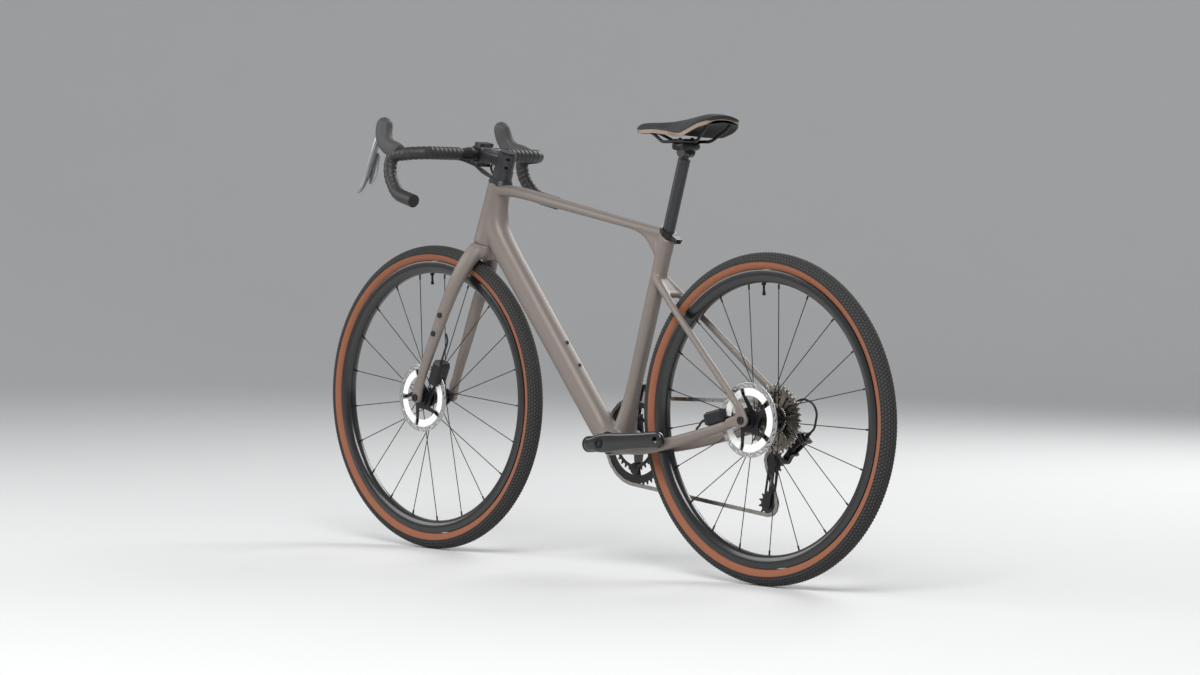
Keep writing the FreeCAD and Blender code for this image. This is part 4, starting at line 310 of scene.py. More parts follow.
def make_grain():
    """Node group: noise of a scale shifts colour and roughness by an amount and gives a height."""
    group = bpy.data.node_groups.new("grain", "ShaderNodeTree")
    for label, kind in (("Colour", "NodeSocketColor"), ("Roughness", "NodeSocketFloat"),
                        ("Scale", "NodeSocketFloat"), ("Amount", "NodeSocketFloat")):
        group.interface.new_socket(label, in_out="INPUT", socket_type=kind)
    for label, kind in (("Colour", "NodeSocketColor"), ("Roughness", "NodeSocketFloat"),
                        ("Height", "NodeSocketFloat")):
        group.interface.new_socket(label, in_out="OUTPUT", socket_type=kind)
    add = group.nodes.new
    link = group.links.new
    given = add("NodeGroupInput")
    result = add("NodeGroupOutput")
    place = add("ShaderNodeTexCoord")
    noise = add("ShaderNodeTexNoise")
    noise.inputs["Detail"].default_value = 3
    link(place.outputs["Object"], noise.inputs["Vector"])
    link(given.outputs["Scale"], noise.inputs["Scale"])
    centred = add("ShaderNodeMath")
    centred.operation = "SUBTRACT"
    centred.inputs[1].default_value = 0.5
    link(noise.outputs["Fac"], centred.inputs[0])
    shift = add("ShaderNodeMath")
    shift.operation = "MULTIPLY"
    link(centred.outputs[0], shift.inputs[0])
    link(given.outputs["Amount"], shift.inputs[1])
    factor = add("ShaderNodeMath")
    factor.operation = "ADD"
    factor.inputs[1].default_value = 1
    link(shift.outputs[0], factor.inputs[0])
    tint = add("ShaderNodeVectorMath")
    tint.operation = "SCALE"
    link(given.outputs["Colour"], tint.inputs[0])
    link(factor.outputs[0], tint.inputs["Scale"])
    link(tint.outputs[0], result.inputs["Colour"])
    rough = add("ShaderNodeMath")
    rough.operation = "MULTIPLY"
    rough.use_clamp = True
    link(given.outputs["Roughness"], rough.inputs[0])
    link(factor.outputs[0], rough.inputs[1])
    link(rough.outputs[0], result.inputs["Roughness"])
    link(noise.outputs["Fac"], result.inputs["Height"])
    return group


GRAIN = make_grain()


def material(name, tone, roughness, metallic=0.0, coat=0.0, scale=300.0, amount=0.15, bump=0.0):
    """A material through the grain group; bump is the height of its grain in millimetres."""
    made = bpy.data.materials.new("studio_" + name)
    made.use_nodes = True
    tree = made.node_tree
    shader = tree.nodes["Principled BSDF"]
    grain = tree.nodes.new("ShaderNodeGroup")
    grain.node_tree = GRAIN
    grain.inputs["Colour"].default_value = tone
    grain.inputs["Roughness"].default_value = roughness
    grain.inputs["Scale"].default_value = scale
    grain.inputs["Amount"].default_value = amount
    tree.links.new(grain.outputs["Colour"], shader.inputs["Base Color"])
    tree.links.new(grain.outputs["Roughness"], shader.inputs["Roughness"])
    shader.inputs["Metallic"].default_value = metallic
    shader.inputs["Coat Weight"].default_value = coat
    shader.inputs["Coat Roughness"].default_value = 0.12
    if bump:
        relief = tree.nodes.new("ShaderNodeBump")
        relief.inputs["Distance"].default_value = bump * MM
        tree.links.new(grain.outputs["Height"], relief.inputs["Height"])
        tree.links.new(relief.outputs["Normal"], shader.inputs["Normal"])
    return made


PAINT = material("frame_paint", colour(120, 111, 105), 0.5, 0.25, 0.06, 900, 0.1)
BLACK = material("black_alloy", colour(31, 31, 33), 0.36, 0.4)
SATIN = material("grey_satin", colour(46, 46, 48), 0.4, 0.2)
GLOSS = material("black_gloss", colour(12, 12, 13), 0.26, 0.0, 0.4)
RIM = material("rim_black", colour(17, 17, 19), 0.24, 0.0, 0.4)
GREY = material("grey_alloy", colour(150, 151, 154), 0.3, 0.85)
STEEL = material("steel", colour(176, 176, 176), 0.3, 1.0, scale=500)
FIN = material("fin_white", colour(236, 236, 234), 0.4)
DARK_STEEL = material("dark_steel", colour(46, 46, 49), 0.34, 0.9)
CHAIN = material("chain_steel", colour(150, 148, 143), 0.34, 1.0, scale=700, amount=0.6)
BRONZE = material("bronze_steel", colour(140, 134, 126), 0.3, 1.0, scale=420, amount=0.5)
RUBBER = material("rubber", colour(62, 62, 63), 0.62, scale=1500, bump=0.15)
HOSE = material("hose_rubber", colour(18, 18, 19), 0.5)
TAPE = material("tape", colour(34, 34, 35), 0.5, scale=1200, bump=0.1)
PLASTIC = material("plastic", colour(24, 24, 26), 0.5)
SKIN = material("saddle_skin", colour(32, 32, 34), 0.5, scale=1600, bump=0.06)
# The saddle's base is painted pale: its tone is a painted reflection of light on the glossy rim of a dark
# base.
PALE_BASE_REFLECTION = material("saddle_base", colour(150, 134, 120), 0.4, 0.3)
LOOKS = {
    PAINT: "frame fork",
    BLACK: "bottom_bracket_cups derailleur_hanger rear_axle front_axle seat_clamp rear_caliper front_caliper "
           "rear_mech_knuckle front_mech_base stem_faceplate stem_cap handlebar front_hub "
           "rear_hub chainrings rear_mech_carrier rear_mech_cage rear_mech_outer_link rear_mech_inner_link "
           "saddle_clamp",
    SATIN: "seatpost stem headset_spacers",
    GLOSS: "crank_arm_left crank_arm_right",
    RIM: "front_rim rear_rim",
    GREY: "brake_lever_left brake_lever_right shift_paddle_left shift_paddle_right front_mech_cage",
    CHAIN: "chain",
    STEEL: "headset_bearings front_rotor rear_rotor front_pad_outer front_pad_inner rear_pad_outer "
           "rear_pad_inner",
    DARK_STEEL: "frame_bolts steering_bolts front_spokes rear_spokes crank_bolts saddle_rails",
    BRONZE: "cassette",
    RUBBER: "brake_hoods",
    HOSE: "cockpit_hoses rear_cables",
    TAPE: "bar_tape",
    PLASTIC: "bar_plugs guide_pulley tension_pulley",
    SKIN: "saddle_cover",
    PALE_BASE_REFLECTION: "saddle_shell",
}
for look, names in LOOKS.items():
    for name in names.split():
        nodes[name].data.materials.clear()
        nodes[name].data.materials.append(look)

# %% [markdown]
# ## Tyres
# A casing is a circle of radius a carried round the wheel: r = R + a cos s, y = a sin s. In the tread, small
# blocks stand h above it in staggered rows. The attribute `tread` is 0 on the tan sidewall, 0.3 between the
# blocks and 1 on them, and the material turns it into three colours: tan, the blocks' grey, and a near-black
# between the blocks that is painted shade.
# %% Tyres
RING_RADIUS = 333.5
CASING = 19.4
BLOCK_HEIGHT = 2.0
ROW_PITCH = 6.6
BLOCKS_AROUND = 264
TREAD_EDGE = math.radians(88)


def step_between(low, high, values):
    """Smooth step from 0 at low to 1 at high."""
    x = np.clip((values - low) / (high - low), 0, 1)
    return x * x * (3 - 2 * x)


def tyre_material():
    """Tan sidewall, painted shade between the blocks and greyer blocks, picked by the attribute tread."""
    made = material("tyre", colour(28, 27, 26), 0.78, scale=900, amount=0.3, bump=0.2)
    tree = made.node_tree
    grain = next(n for n in tree.nodes if n.type == "GROUP")
    tread = tree.nodes.new("ShaderNodeAttribute")
    tread.attribute_name = "tread"
    ramp = tree.nodes.new("ShaderNodeValToRGB")
    stops = ramp.color_ramp.elements
    stops[0].color = colour(138, 84, 58)
    stops[1].color = colour(56, 55, 54)
    # The near-black stop at 0.3, between the blocks, is painted shade; the rubber there is the blocks' grey.
    stops.new(0.3).color = colour(19, 19, 19)
    tree.links.new(tread.outputs["Fac"], ramp.inputs["Fac"])
    tree.links.new(ramp.outputs["Color"], grain.inputs["Colour"])
    return made


TYRE = tyre_material()


def tyre_surface(centre):
    """Grid of places round the wheel and angles s across the casing, with blocks in staggered rows."""
    around = 6 * BLOCKS_AROUND
    turn = np.linspace(0, 2 * math.pi, around, endpoint=False)[:, None]
    side = np.linspace(93, 140, 6)
    s = np.radians(np.concatenate([-side[::-1], np.linspace(-90, 90, 40), side]))
    across = s[None, :] * (CASING + BLOCK_HEIGHT) / ROW_PITCH
    row = np.round(across)
    along = turn * BLOCKS_AROUND / (2 * math.pi) + 0.5 * (row % 2)
    in_row = np.abs(across - row)
    in_block = np.abs(along - np.round(along))
    tread = step_between(TREAD_EDGE + 0.05, TREAD_EDGE - 0.02, np.abs(s))[None, :]
    block = step_between(0.44, 0.3, in_row) * step_between(0.4, 0.26, in_block) * tread
    reach = CASING + BLOCK_HEIGHT * block
    radius = RING_RADIUS + reach * np.cos(s)[None, :]
    points = np.stack([radius * np.cos(turn), reach * np.sin(s)[None, :], radius * np.sin(turn)], -1)
    # 0 on the tan wall, 0.3 between the blocks where the material paints shade, and 1 on the blocks.
    tyre_tone_and_gap_shade = 0.3 * tread + 0.7 * block
    return (points.reshape(-1, 3) + centre, grid_faces(around, len(s), True, False)), tyre_tone_and_gap_shade.ravel()


for end, centre in (("front", FRONT), ("rear", REAR)):
    surface, tyre_tone_and_gap_shade = tyre_surface(centre)
    made = piece(end + "_tyre_tread", [surface], TYRE, end + "_wheel", [end + "_tyre"])
    made.data.attributes.new("tread", "FLOAT", "POINT").data.foreach_set("value", tyre_tone_and_gap_shade.astype(np.float32))

# %% [markdown]
# ## Rims and rotors
# The rim is a smooth profile turned about the axle. A rotor is a polar grid with the cells of its slots left
# out, and a solidify modifier gives it thickness.
# %% Rims and rotors
ROTOR_INNER = 68.4
ROTOR_RADIUS = 80
ROTOR_SLOTS = 30
ROTOR_ARMS = 5


def rim_surface(centre):
    """Half a rim's outline through a spline, mirrored and turned."""
    half = [(313, 12.4, 0), (317.2, 12.8, 0), (317.6, 14.4, 0), (315.5, 15, 0), (308, 15.2, 0), (299, 14, 0),
            (292.5, 10.5, 0), (289.4, 5, 0), (288.8, 0, 0)]
    rows = spline(half, 30)[:, :2]
    return turned(np.concatenate([rows, rows[-2::-1] * [1, -1]]), centre, 240)


def rotor_disc(centre, side):
    """The braking ring, with slanted slots in two staggered rows."""
    around = 480
    radius = np.linspace(ROTOR_INNER, ROTOR_RADIUS, 13)
    turn = np.linspace(0, 2 * math.pi, around, endpoint=False)
    ring = radius[None, :] + 0 * turn[:, None]
    x = ring * np.cos(turn)[:, None]
    z = ring * np.sin(turn)[:, None]
    points = np.stack([x, np.full_like(ring, side), z], -1)
    faces = np.array(grid_faces(around, len(radius), True, False))
    mid_radius = np.tile((radius[1:] + radius[:-1]) / 2, around)
    mid_turn = np.repeat(turn + math.pi / around, len(radius) - 1)
    cycle = (mid_turn + 0.02 * (mid_radius - 74)) * ROTOR_SLOTS / (2 * math.pi)
    away = np.abs(cycle - np.round(cycle))
    even = np.round(cycle) % 2 == 0
    inner = (mid_radius > 69.5) & (mid_radius < 75.5) & even
    outer = (mid_radius > 73) & (mid_radius < 79) & ~even
    keep = ~((away < 0.19) & (inner | outer))
    return points.reshape(-1, 3) + centre, faces[keep].tolist()


def arc_plate(centre, inner, outer, start, stop, low, high):
    """A curved flat bar between two angles in degrees, about a wheel's axle."""
    angle = np.radians(np.linspace(start, stop, 24))
    corners = [(inner, low), (outer, low), (outer, high), (inner, high)]
    rows = [np.stack([r * np.cos(angle), np.full(24, y), r * np.sin(angle)], -1) for r, y in corners]
    return closed_loft(np.stack(rows, 1) + centre)


def rotor_fins(centre, side):
    """Five pale cooling plates inside the braking ring, between the carrier's arms."""
    starts = [72 * k + 6 for k in range(ROTOR_ARMS)]
    return [arc_plate(centre, 52, 68.2, start, start + 60, side - 0.9, side + 0.9) for start in starts]


def rotor_carrier(centre, side):
    """The dark carrier: a ring on the hub, arms out between the fins and the lockring."""
    hub_ring = flat_ring(centre, 14, 27, side - 1.5, side + 1.5)
    lockring = flat_ring(centre, 10.5, 18.5, side + 2.5, side + 5)
    surfaces = [hub_ring, lockring]
    for k in range(ROTOR_ARMS):
        angle = math.radians(72 * k)
        inner = centre + 22 * np.array([math.cos(angle + 0.6), 0, math.sin(angle + 0.6)])
        outer = centre + 58 * np.array([math.cos(angle), 0, math.sin(angle)])
        surfaces.append(flat_plate(hull_outline(inner, 6, outer, 3.5), side - 0.8, side + 0.8))
        tie = centre + 68 * np.array([math.cos(angle), 0, math.sin(angle)])
        surfaces.append(flat_plate(hull_outline(outer, 3.5, tie, 3), side - 0.8, side + 0.8))
    return surfaces


def flat_ring(centre, inner, outer, low, high):
    """A closed ring of square section about an axle."""
    return turned([(inner, low), (outer, low), (outer, high), (inner, high)], centre, 96, True)


for end, centre, side in (("front", FRONT, 37.5), ("rear", REAR, 55.0)):
    piece(end + "_rim_skin", [rim_surface(centre)], RIM, end + "_wheel", [end + "_rim"], 40)
    disc = piece(end + "_rotor_disc", [rotor_disc(centre, side)], STEEL, end + "_wheel", [end + "_rotor"], 30)
    thick = disc.modifiers.new("thickness", "SOLIDIFY")
    thick.thickness = 1.8 * MM
    thick.offset = 0
    piece(end + "_rotor_fins", rotor_fins(centre, side), FIN, end + "_wheel", sharp=30)
    piece(end + "_rotor_carrier", rotor_carrier(centre, side), BLACK, end + "_wheel", sharp=30)

# %% [markdown]
# ## Moulded frame and fork
# The tubes are drawn as separate closed tubes that overlap. A voxel remesh turns them into one skin, and a
# few smoothing passes leave the soft fillets of a moulding.
# %% Frame


def frame_tubes():
    """Every tube of the frame, as closed surfaces."""
    head = [np.append(HEAD_FOOT + HEAD_UP * t, (w, d)) for t, w, d in
            ((0, 29, 29), (40, 27.5, 29), (100, 26.5, 28), (145, 26, 28))]
    neck = [(313, 0, 838, 23, 25), (322, 0, 792, 25.4, 29), (317, 0, 753, 26.4, 28.5),
            (298, 0, 716, 26.4, 29.5), (262, 0, 670.3, 26, 28.6), (206, 0, 602.6, 24.4, 26.4),
            (170, 0, 559, 23, 25)]
    down = [(304, 0, 721, 25, 28), (262, 0, 670.3, 26, 28.5), (136, 0, 518, 26.5, 27.6),
            (60, 0, 426, 27, 27.6), (10, 0, 365.5, 27.5, 27.6), (-25, 0, 323.5, 28.5, 27.4),
            (-50, 0, 298, 30, 26), (-76, 0, 287, 31, 24)]
    top = [(300, 0, 838, 25, 14), (272, 0, 836.6, 23.4, 13), (238, 0, 832.8, 22, 12.4),
           (195, 0, 825, 21.6, 12), (50, 0, 797, 20, 10.8), (-150, 0, 758.6, 18, 9.8), (-216, 0, 746, 16, 10)]
    corner = [(-128, 0, 760, 16, 8), (-166, 0, 746, 15.5, 10), (-192, 0, 722, 15.5, 12),
              (-207, 0, 690, 15, 11), (-209, 0, 660, 14.5, 11)]
    seat = [np.append(CRANK + SEAT_UP * t, (w, d)) for t, w, d in
            ((14, 32, 22), (80, 20, 17), (225, 16.4, 16), (372, 16.2, 16.8), (470, 17, 17.6))]
    surfaces = [tube(head, 2.2), tube(neck, 2.4), tube(down, 2.4), tube(top, 3), tube(seat, 2.6)]
    corner_web = [(-150, 756), (-170, 742), (-192, 716), (-208, 680), (-224, 690), (-228, 742), (-190, 752)]
    surfaces += [tube(corner, 2.6), flat_plate(corner_web, -13, 13)]
    surfaces.append(seat_cap())
    surfaces.append(sweep(np.linspace(CRANK - LEFT * 43.2, CRANK + LEFT * 43.2, 12), 28.2, 48))
    chainstay = [(-105, 20, 279, 11, 19), (-157, 27, 276, 9.3, 17), (-205, 35.8, 279, 9, 15),
                 (-338, 58, 305, 8.5, 12.5), (-430, 67.5, 329, 8, 11), (-508, 75.5, 351, 5.4, 9.5)]
    seatstay = [(-202, 12, 648, 7, 11), (-246, 24, 611, 6.8, 9), (-297, 35.5, 567, 6.8, 8),
                (-468, 66, 420, 6.6, 7.8), (-514, 76, 380, 5.2, 7.8)]
    plate = flat_plate(hull_outline(REAR, 15, REAR + [38, 0, -7], 10), 71.2, 81)
    horn = flat_plate(hull_outline(REAR, 15, REAR + [10, 0, 28], 9), 71.2, 81)
    bridge = sweep(np.linspace((-244, -26, 612), (-244, 26, 612), 9), 7.4, 24)
    yoke = tube([(-202, 0, 650, 15, 8), (-224, 0, 631, 21, 7), (-246, 0, 611, 26, 5)], 3)
    surfaces += both_sides([tube(chainstay, 2.8), tube(seatstay, 2.8), plate, horn])
    surfaces += [bridge, yoke]
    return surfaces


def seat_cap():
    """The seat tube's end below the clamp: a short tube cut by a plane that falls to the rear."""
    half_side, half_deep = 17.1, 17.7
    section = superellipse(40, 2.6)
    ahead = np.cross(LEFT, SEAT_UP)
    rows = []
    for t, slope in ((440, 0.0), (452, 0.3), (466, 0.6), (477.5, 0.93)):
        ring = CRANK + SEAT_UP * t + half_side * section[:, :1] * LEFT + half_deep * section[:, 1:] * ahead
        lift = half_deep * section[:, 1] * slope
        rows.append(ring + lift[:, None] * SEAT_UP)
    return closed_loft(np.array(rows))


def screw(seat, out, head, height, shank, depth):
    """A cap screw turned about its axis: rows of (t, r) for the shank, the head and its round socket."""
    rows = [(-depth, shank), (0, shank), (0, head), (height - 0.6, head), (height, head - 0.6),
            (height, head * 0.5), (height * 0.4, head * 0.5)]
    turn = np.linspace(0, 2 * math.pi, 24, endpoint=False)
    ring = np.cos(turn)[:, None] * LEFT + np.sin(turn)[:, None] * np.cross(LEFT, out)
    return closed_loft(np.array([seat + out * t + ring * r for t, r in rows]))


frame_skin = piece("frame_skin", frame_tubes(), PAINT, "frame", ["frame"])
join_skin(frame_skin, 2.6, 10)
# Two bottle bolts sit on the down tube's upper face, and the clamp's bolt is behind the seat tube's end.
BOTTLE_PITCH = 64
down_run = unit(np.array([76.0, 0.0, 92.0]))
bottle_out = np.cross(down_run, LEFT)
bottle_seat = np.array([63.7, 0.0, 430.5]) + bottle_out * 27.3
clamp_slope = math.radians(33)
clamp_out = -np.array([math.cos(clamp_slope), 0.0, math.sin(clamp_slope)])
clamp_seat = SEAT_TOP + 36 * clamp_out + 5.5 * np.cross(LEFT, clamp_out)
screws = [screw(bottle_seat + down_run * along, bottle_out, 4.5, 2.6, 2.5, 10)
          for along in (0, BOTTLE_PITCH)]
screws.append(screw(clamp_seat, clamp_out, 4, 3, 2.5, 12))
piece("frame_screws", screws, DARK_STEEL, "frame", ["frame_bolts"], 30)

# %% Fork


def fork_tubes():
    """Crown, legs and dropouts as closed surfaces."""
    crown = [np.append(HEAD_FOOT - HEAD_UP * t + HEAD_AHEAD * f, (w, d)) for t, f, w, d in
             ((0.6, 0, 28, 28.4), (10, 0, 29, 28), (20, 3, 32, 26), (30, 6, 33, 22))]
    leg = [(361, 19, 706, 13, 20), (372, 31, 684, 14, 20), (386, 41, 658, 12.5, 19.5),
           (419, 47.5, 600, 11, 17.5), (466, 52.5, 500, 9.6, 15), (507, 56, 405, 7.4, 12.4),
           (521, 56, 366, 6.4, 11.6)]
    tip = flat_plate(hull_outline(FRONT, 12.5, (515, 0, 388), 11), 50.2, 62)
    surfaces = [tube(crown, 2.4)] + both_sides([tube(leg, 2.6), tip])
    return surfaces


fork_skin = piece("fork_skin", fork_tubes(), PAINT, "steering", ["fork"])
join_skin(fork_skin, 2.2, 6)
steerer = sweep(np.linspace(HEAD_FOOT, HEAD_TOP + HEAD_UP * 60, 8), 14.3, 32)
bosses = [bar_across(np.array(spot), -1.5, 1.5, 6.2) for spot in ((443, 61.6, 549), (463, 63, 506))]
piece("steerer", [steerer] + both_sides(bosses), BLACK, "steering", sharp=40)

# %% [markdown]
# ## Crank arms
# An arm is a plate with a rounded rim and the pedal's hole. Each outline point o has an inward normal n, and
# the rim is o + n e (1 - cos a) for a from -90 to 90 degrees. It is raised by e sin a, and by a flat band's
# half height on top of that, up where a is positive and down where it is negative.
# %% Crank
RISE = math.radians(5.6)
ARM_RUN = np.array([math.cos(RISE), 0.0, -math.sin(RISE)])
ARM_UP = np.array([math.sin(RISE), 0.0, math.cos(RISE)])
ARM_LENGTH = 172.5
ARM_EDGE = 6.0
ARM_HALF = 7.5
PEDAL_HOLE = 7.1


def arm_outline(rows):
    """Points (t along the arm, h above it) round rows of (t, half height), with round ends."""
    path = spline([(t, 0, 0, half) for t, half in rows], 50)
    turn = np.linspace(math.pi / 2, -math.pi / 2, 26)[1:-1]
    ends = [path[k, 0] + s * path[k, 3] * np.cos(turn) + 1j * s * path[k, 3] * np.sin(turn)
            for k, s in ((-1, 1), (0, -1))]
    upper = path[:, 0] + 1j * path[:, 3]
    line = np.concatenate([upper, ends[0], np.conj(upper[::-1]), ends[1]])
    return np.stack([line.real, line.imag], -1)


def arm_surface(rows, way, middle):
    """The arm from its outline; the pedal's hole is at the last row."""
    outline = arm_outline(rows)
    run = unit(np.roll(outline, -1, 0) - np.roll(outline, 1, 0))
    inward = np.stack([run[:, 1], -run[:, 0]], -1)
    eye = np.array([rows[-1][0], 0])
    hole = eye + PEDAL_HOLE * unit(outline - eye)
    angle = np.radians(np.linspace(-90, 90, 15))
    rim = outline[:, None] + inward[:, None] * (ARM_EDGE * (1 - np.cos(angle)))[None, :, None]
    flat = np.concatenate([hole[:, None], rim, hole[:, None]], 1)
    flat_half = ARM_HALF - ARM_EDGE
    rise = np.concatenate([[-ARM_HALF], flat_half * np.sign(angle) + ARM_EDGE * np.sin(angle), [ARM_HALF]])
    points = CRANK + way * ARM_RUN * flat[:, :, :1] + way * ARM_UP * flat[:, :, 1:] + LEFT * middle
    points = points + LEFT * rise[None, :, None]
    return points.reshape(-1, 3), grid_faces(len(outline), len(rise), True, True)


left_widths = [(-33, 14.6), (-22, 15.4), (-10, 19), (0, 20.5), (60, 19.6), (ARM_LENGTH, 18.5)]
left_arm = [arm_surface(left_widths, -1, 67.5), bar_across(CRANK, 45, 63, 18)]
piece("arm_left", left_arm, GLOSS, "crankset", ["crank_arm_left"], 40)
right_arm = [arm_surface([(0, 21), (60, 20), (ARM_LENGTH, 18.5)], 1, -67.5), bar_across(CRANK, -61, -49, 24),
             bar_across(CRANK, -60, 73, 12)]
for angle in np.radians((20, 90, 200, 270)):
    lug = CRANK + 55 * np.array([math.cos(angle), 0, math.sin(angle)])
    right_arm.append(flat_plate(hull_outline(CRANK, 15, lug, 8.5), -56, -49))
piece("arm_right", right_arm, GLOSS, "crankset", ["crank_arm_right"], 40)

# %% [markdown]
# ## Cassette
# A sprocket is a polar grid. Its rim rises and falls once per tooth, and in the large ones the cells of six
# windows are left out. A solidify modifier gives the plates their thickness.
# %% Cassette
COGS = (36, 32, 28, 24, 21, 19, 17, 15, 14, 13, 12, 11)
COG_STEP = 3.65
COG_DRIVEN = 17
COG_BORE = 16.1
COG_WINDOWS = 6
PITCH = 12.7
CHAIN_Y = -48.0


def pitch_radius(teeth):
    """Radius of the circle through the roller centres of a toothed wheel."""
    return PITCH / (2 * math.sin(math.pi / teeth))


def sprocket(teeth, side):
    """The plate of one sprocket: radius = share of the way from the bore to the rim."""
    around = 10 * teeth
    turn = np.linspace(0, 2 * math.pi, around, endpoint=False)
    rim = pitch_radius(teeth) - 3.6 + 6.4 * step_between(-0.5, 0.6, np.cos(teeth * turn))
    share = np.linspace(0, 1, 15)
    radius = COG_BORE + (rim[:, None] - COG_BORE) * share[None, :]
    x = radius * np.cos(turn)[:, None]
    z = radius * np.sin(turn)[:, None]
    points = np.stack([x, np.full_like(radius, side), z], -1)
    faces = np.array(grid_faces(around, len(share), True, False))
    cell_share = np.tile((share[1:] + share[:-1]) / 2, around)
    window = np.repeat((COG_WINDOWS * turn / (2 * math.pi) + 0.07 * side) % 1, len(share) - 1)
    keep = (cell_share < 0.28) | (cell_share > 0.72) | (window < 0.26) | (teeth < 21)
    return points.reshape(-1, 3) + REAR, faces[keep].tolist()


def cog_side(index):
    """Where a sprocket sits along Y; the driven one is in the chain's plane."""
    return CHAIN_Y - (index - COGS.index(COG_DRIVEN)) * COG_STEP


plates = [sprocket(n, cog_side(i)) for i, n in enumerate(COGS)]
sprockets = piece("sprocket_plates", plates, BRONZE, "cassette", ["cassette"], 30)
thick = sprockets.modifiers.new("thickness", "SOLIDIFY")
thick.thickness = 1.6 * MM
thick.offset = 0
body_end = cog_side(len(COGS) - 1) - 1.5
freehub = [flat_ring(REAR, 10, 17.8, body_end, cog_side(0) + 0.9),
           flat_ring(REAR, 10, 17.5, body_end - 2, body_end)]
piece("freehub_body", freehub, DARK_STEEL, "cassette", sharp=30)

# %% [markdown]
# ## Chain
# The chain runs round four toothed wheels. The wheel of n teeth has pitch radius p / (2 sin(pi / n)), and
# straight runs touch neighbouring circles. The links go into three pieces: one stays with the frame, and the
# other two, on the lower run and round the derailleur's cage, are left in place without a body.
# %% Chain
GUIDE = REAR + [19, 0, -92]
CAGE_ANGLE = math.radians(-80.783)
CAGE_LENGTH = 94
TENSION = GUIDE + CAGE_LENGTH * np.array([math.cos(CAGE_ANGLE), 0, math.sin(CAGE_ANGLE)])
RING_TEETH = 48
PULLEY_TEETH = 12
LINKS = 114
LEG_POINTS = 200
WHEELS = [(CRANK, RING_TEETH, -1), (TENSION, PULLEY_TEETH, -1), (GUIDE, PULLEY_TEETH, 1),
          (REAR, COG_DRIVEN, -1)]


def chain_runs():
    """The straight run after each wheel, as its two ends in (x, z)."""
    runs = []
    for (a, teeth_a, way_a), (b, teeth_b, way_b) in zip(WHEELS, WHEELS[1:] + WHEELS[:1]):
        span = (b - a)[[0, 2]]
        near, far = way_a * pitch_radius(teeth_a), way_b * pitch_radius(teeth_b)
        length = math.sqrt(span.dot(span) - (far - near) ** 2)
        heading = math.atan2(span[1], span[0]) - math.atan2(far - near, length)
        out = np.array([math.sin(heading), -math.cos(heading)])
        runs.append((a[[0, 2]] + out * near, b[[0, 2]] + out * far))
    return runs


RUNS = chain_runs()


def chain_line():
    """Points (x, z) along the whole path, with the number of the leg that each point is on."""
    points = []
    legs = []
    for i, (centre, teeth, way) in enumerate(WHEELS):
        middle = centre[[0, 2]]
        enter = RUNS[i - 1][1] - middle
        leave = RUNS[i][0] - middle
        start = math.atan2(enter[1], enter[0])
        turn = (way * (math.atan2(leave[1], leave[0]) - start)) % (2 * math.pi)
        angle = start + way * np.linspace(0, turn, LEG_POINTS, endpoint=False)
        arc = middle + pitch_radius(teeth) * np.stack([np.cos(angle), np.sin(angle)], -1)
        straight = np.linspace(*RUNS[i], LEG_POINTS, endpoint=False)
        points += [arc, straight]
        legs += [2 * i, 2 * i + 1]
    return np.concatenate(points), np.repeat(legs, LEG_POINTS)


def link_parts(outer):
    """One link about the origin along X: two side plates, and rollers or pins at its ends."""
    ends = (np.array([-PITCH / 2, 0, 0]), np.array([PITCH / 2, 0, 0]))
    low, high, radius, half = (2.05, 2.65, 1.65, 2.75) if outer else (1.15, 1.95, 3.85, 1.2)
    outline = hull_outline(ends[0], 4.1, ends[1], 4.1, 9)
    waist = 1 - 0.22 * np.exp(-(outline[:, 0] / 2.6) ** 2)
    outline = outline * np.stack([np.ones_like(waist), waist], -1)
    parts = [flat_plate(outline, low, high), flat_plate(outline, -high, -low)]
    for end in ends:
        turn = np.linspace(0, 2 * math.pi, 16, endpoint=False)
        circle = end[[0, 2]] + radius * np.stack([np.cos(turn), np.sin(turn)], -1)
        parts.append(flat_plate(circle, -half, half))
    return parts


def chain_pieces():
    """Surfaces of the links, sorted by the leg that each link starts on."""
    line, legs = chain_line()
    closed = np.concatenate([line, line[:1]])
    places = np.append(0, np.cumsum(np.linalg.norm(np.diff(closed, axis=0), axis=1)))
    at = np.linspace(0, places[-1], LINKS + 1)
    rollers = np.stack([np.interp(at, places, closed[:, k]) for k in range(2)], -1)
    leg_of = legs[np.clip(np.searchsorted(places, at[:-1], "right") - 1, 0, len(legs) - 1)]
    shapes = [link_parts(True), link_parts(False)]
    sorted_links = {leg: [] for leg in range(8)}
    for i, leg in enumerate(leg_of):
        start, stop = rollers[i], rollers[i + 1]
        run = unit(stop - start)
        middle = (start + stop) / 2
        for points, faces in shapes[i % 2]:
            x = middle[0] + points[:, 0] * run[0] - points[:, 2] * run[1]
            z = middle[1] + points[:, 0] * run[1] + points[:, 2] * run[0]
            sorted_links[leg].append((np.stack([x, points[:, 1] + CHAIN_Y, z], -1), faces))
    return sorted_links


links = chain_pieces()
piece("chain_upper", links[6] + links[7] + links[0], CHAIN, "frame", ["chain"], 40)
lower = piece("chain_lower", links[1], CHAIN, None, sharp=40)
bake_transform(lower)
cage_links = piece("chain_cage", links[2] + links[3] + links[4] + links[5], CHAIN, None, sharp=40)
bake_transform(cage_links)

# %% [markdown]
# ## Handlebar tape, hoods and levers
# The tape is a round bar along the bar's line whose radius rises and falls with a spiral: each turn of tape
# overlaps the last, so the ridge moves on by one pitch in one turn.
# %% Cockpit
BAR_LINE = [BAR, BAR + [0, 196, 0], BAR + [86, 204, -6], BAR + [84, 210.9, -50.1],
            BAR + [47.3, 219.2, -94.8], BAR + [-12, 226, -109]]
TAPE_PITCH = 13.0
TAPE_START = 74
TAPE_RADIUS = 14.1


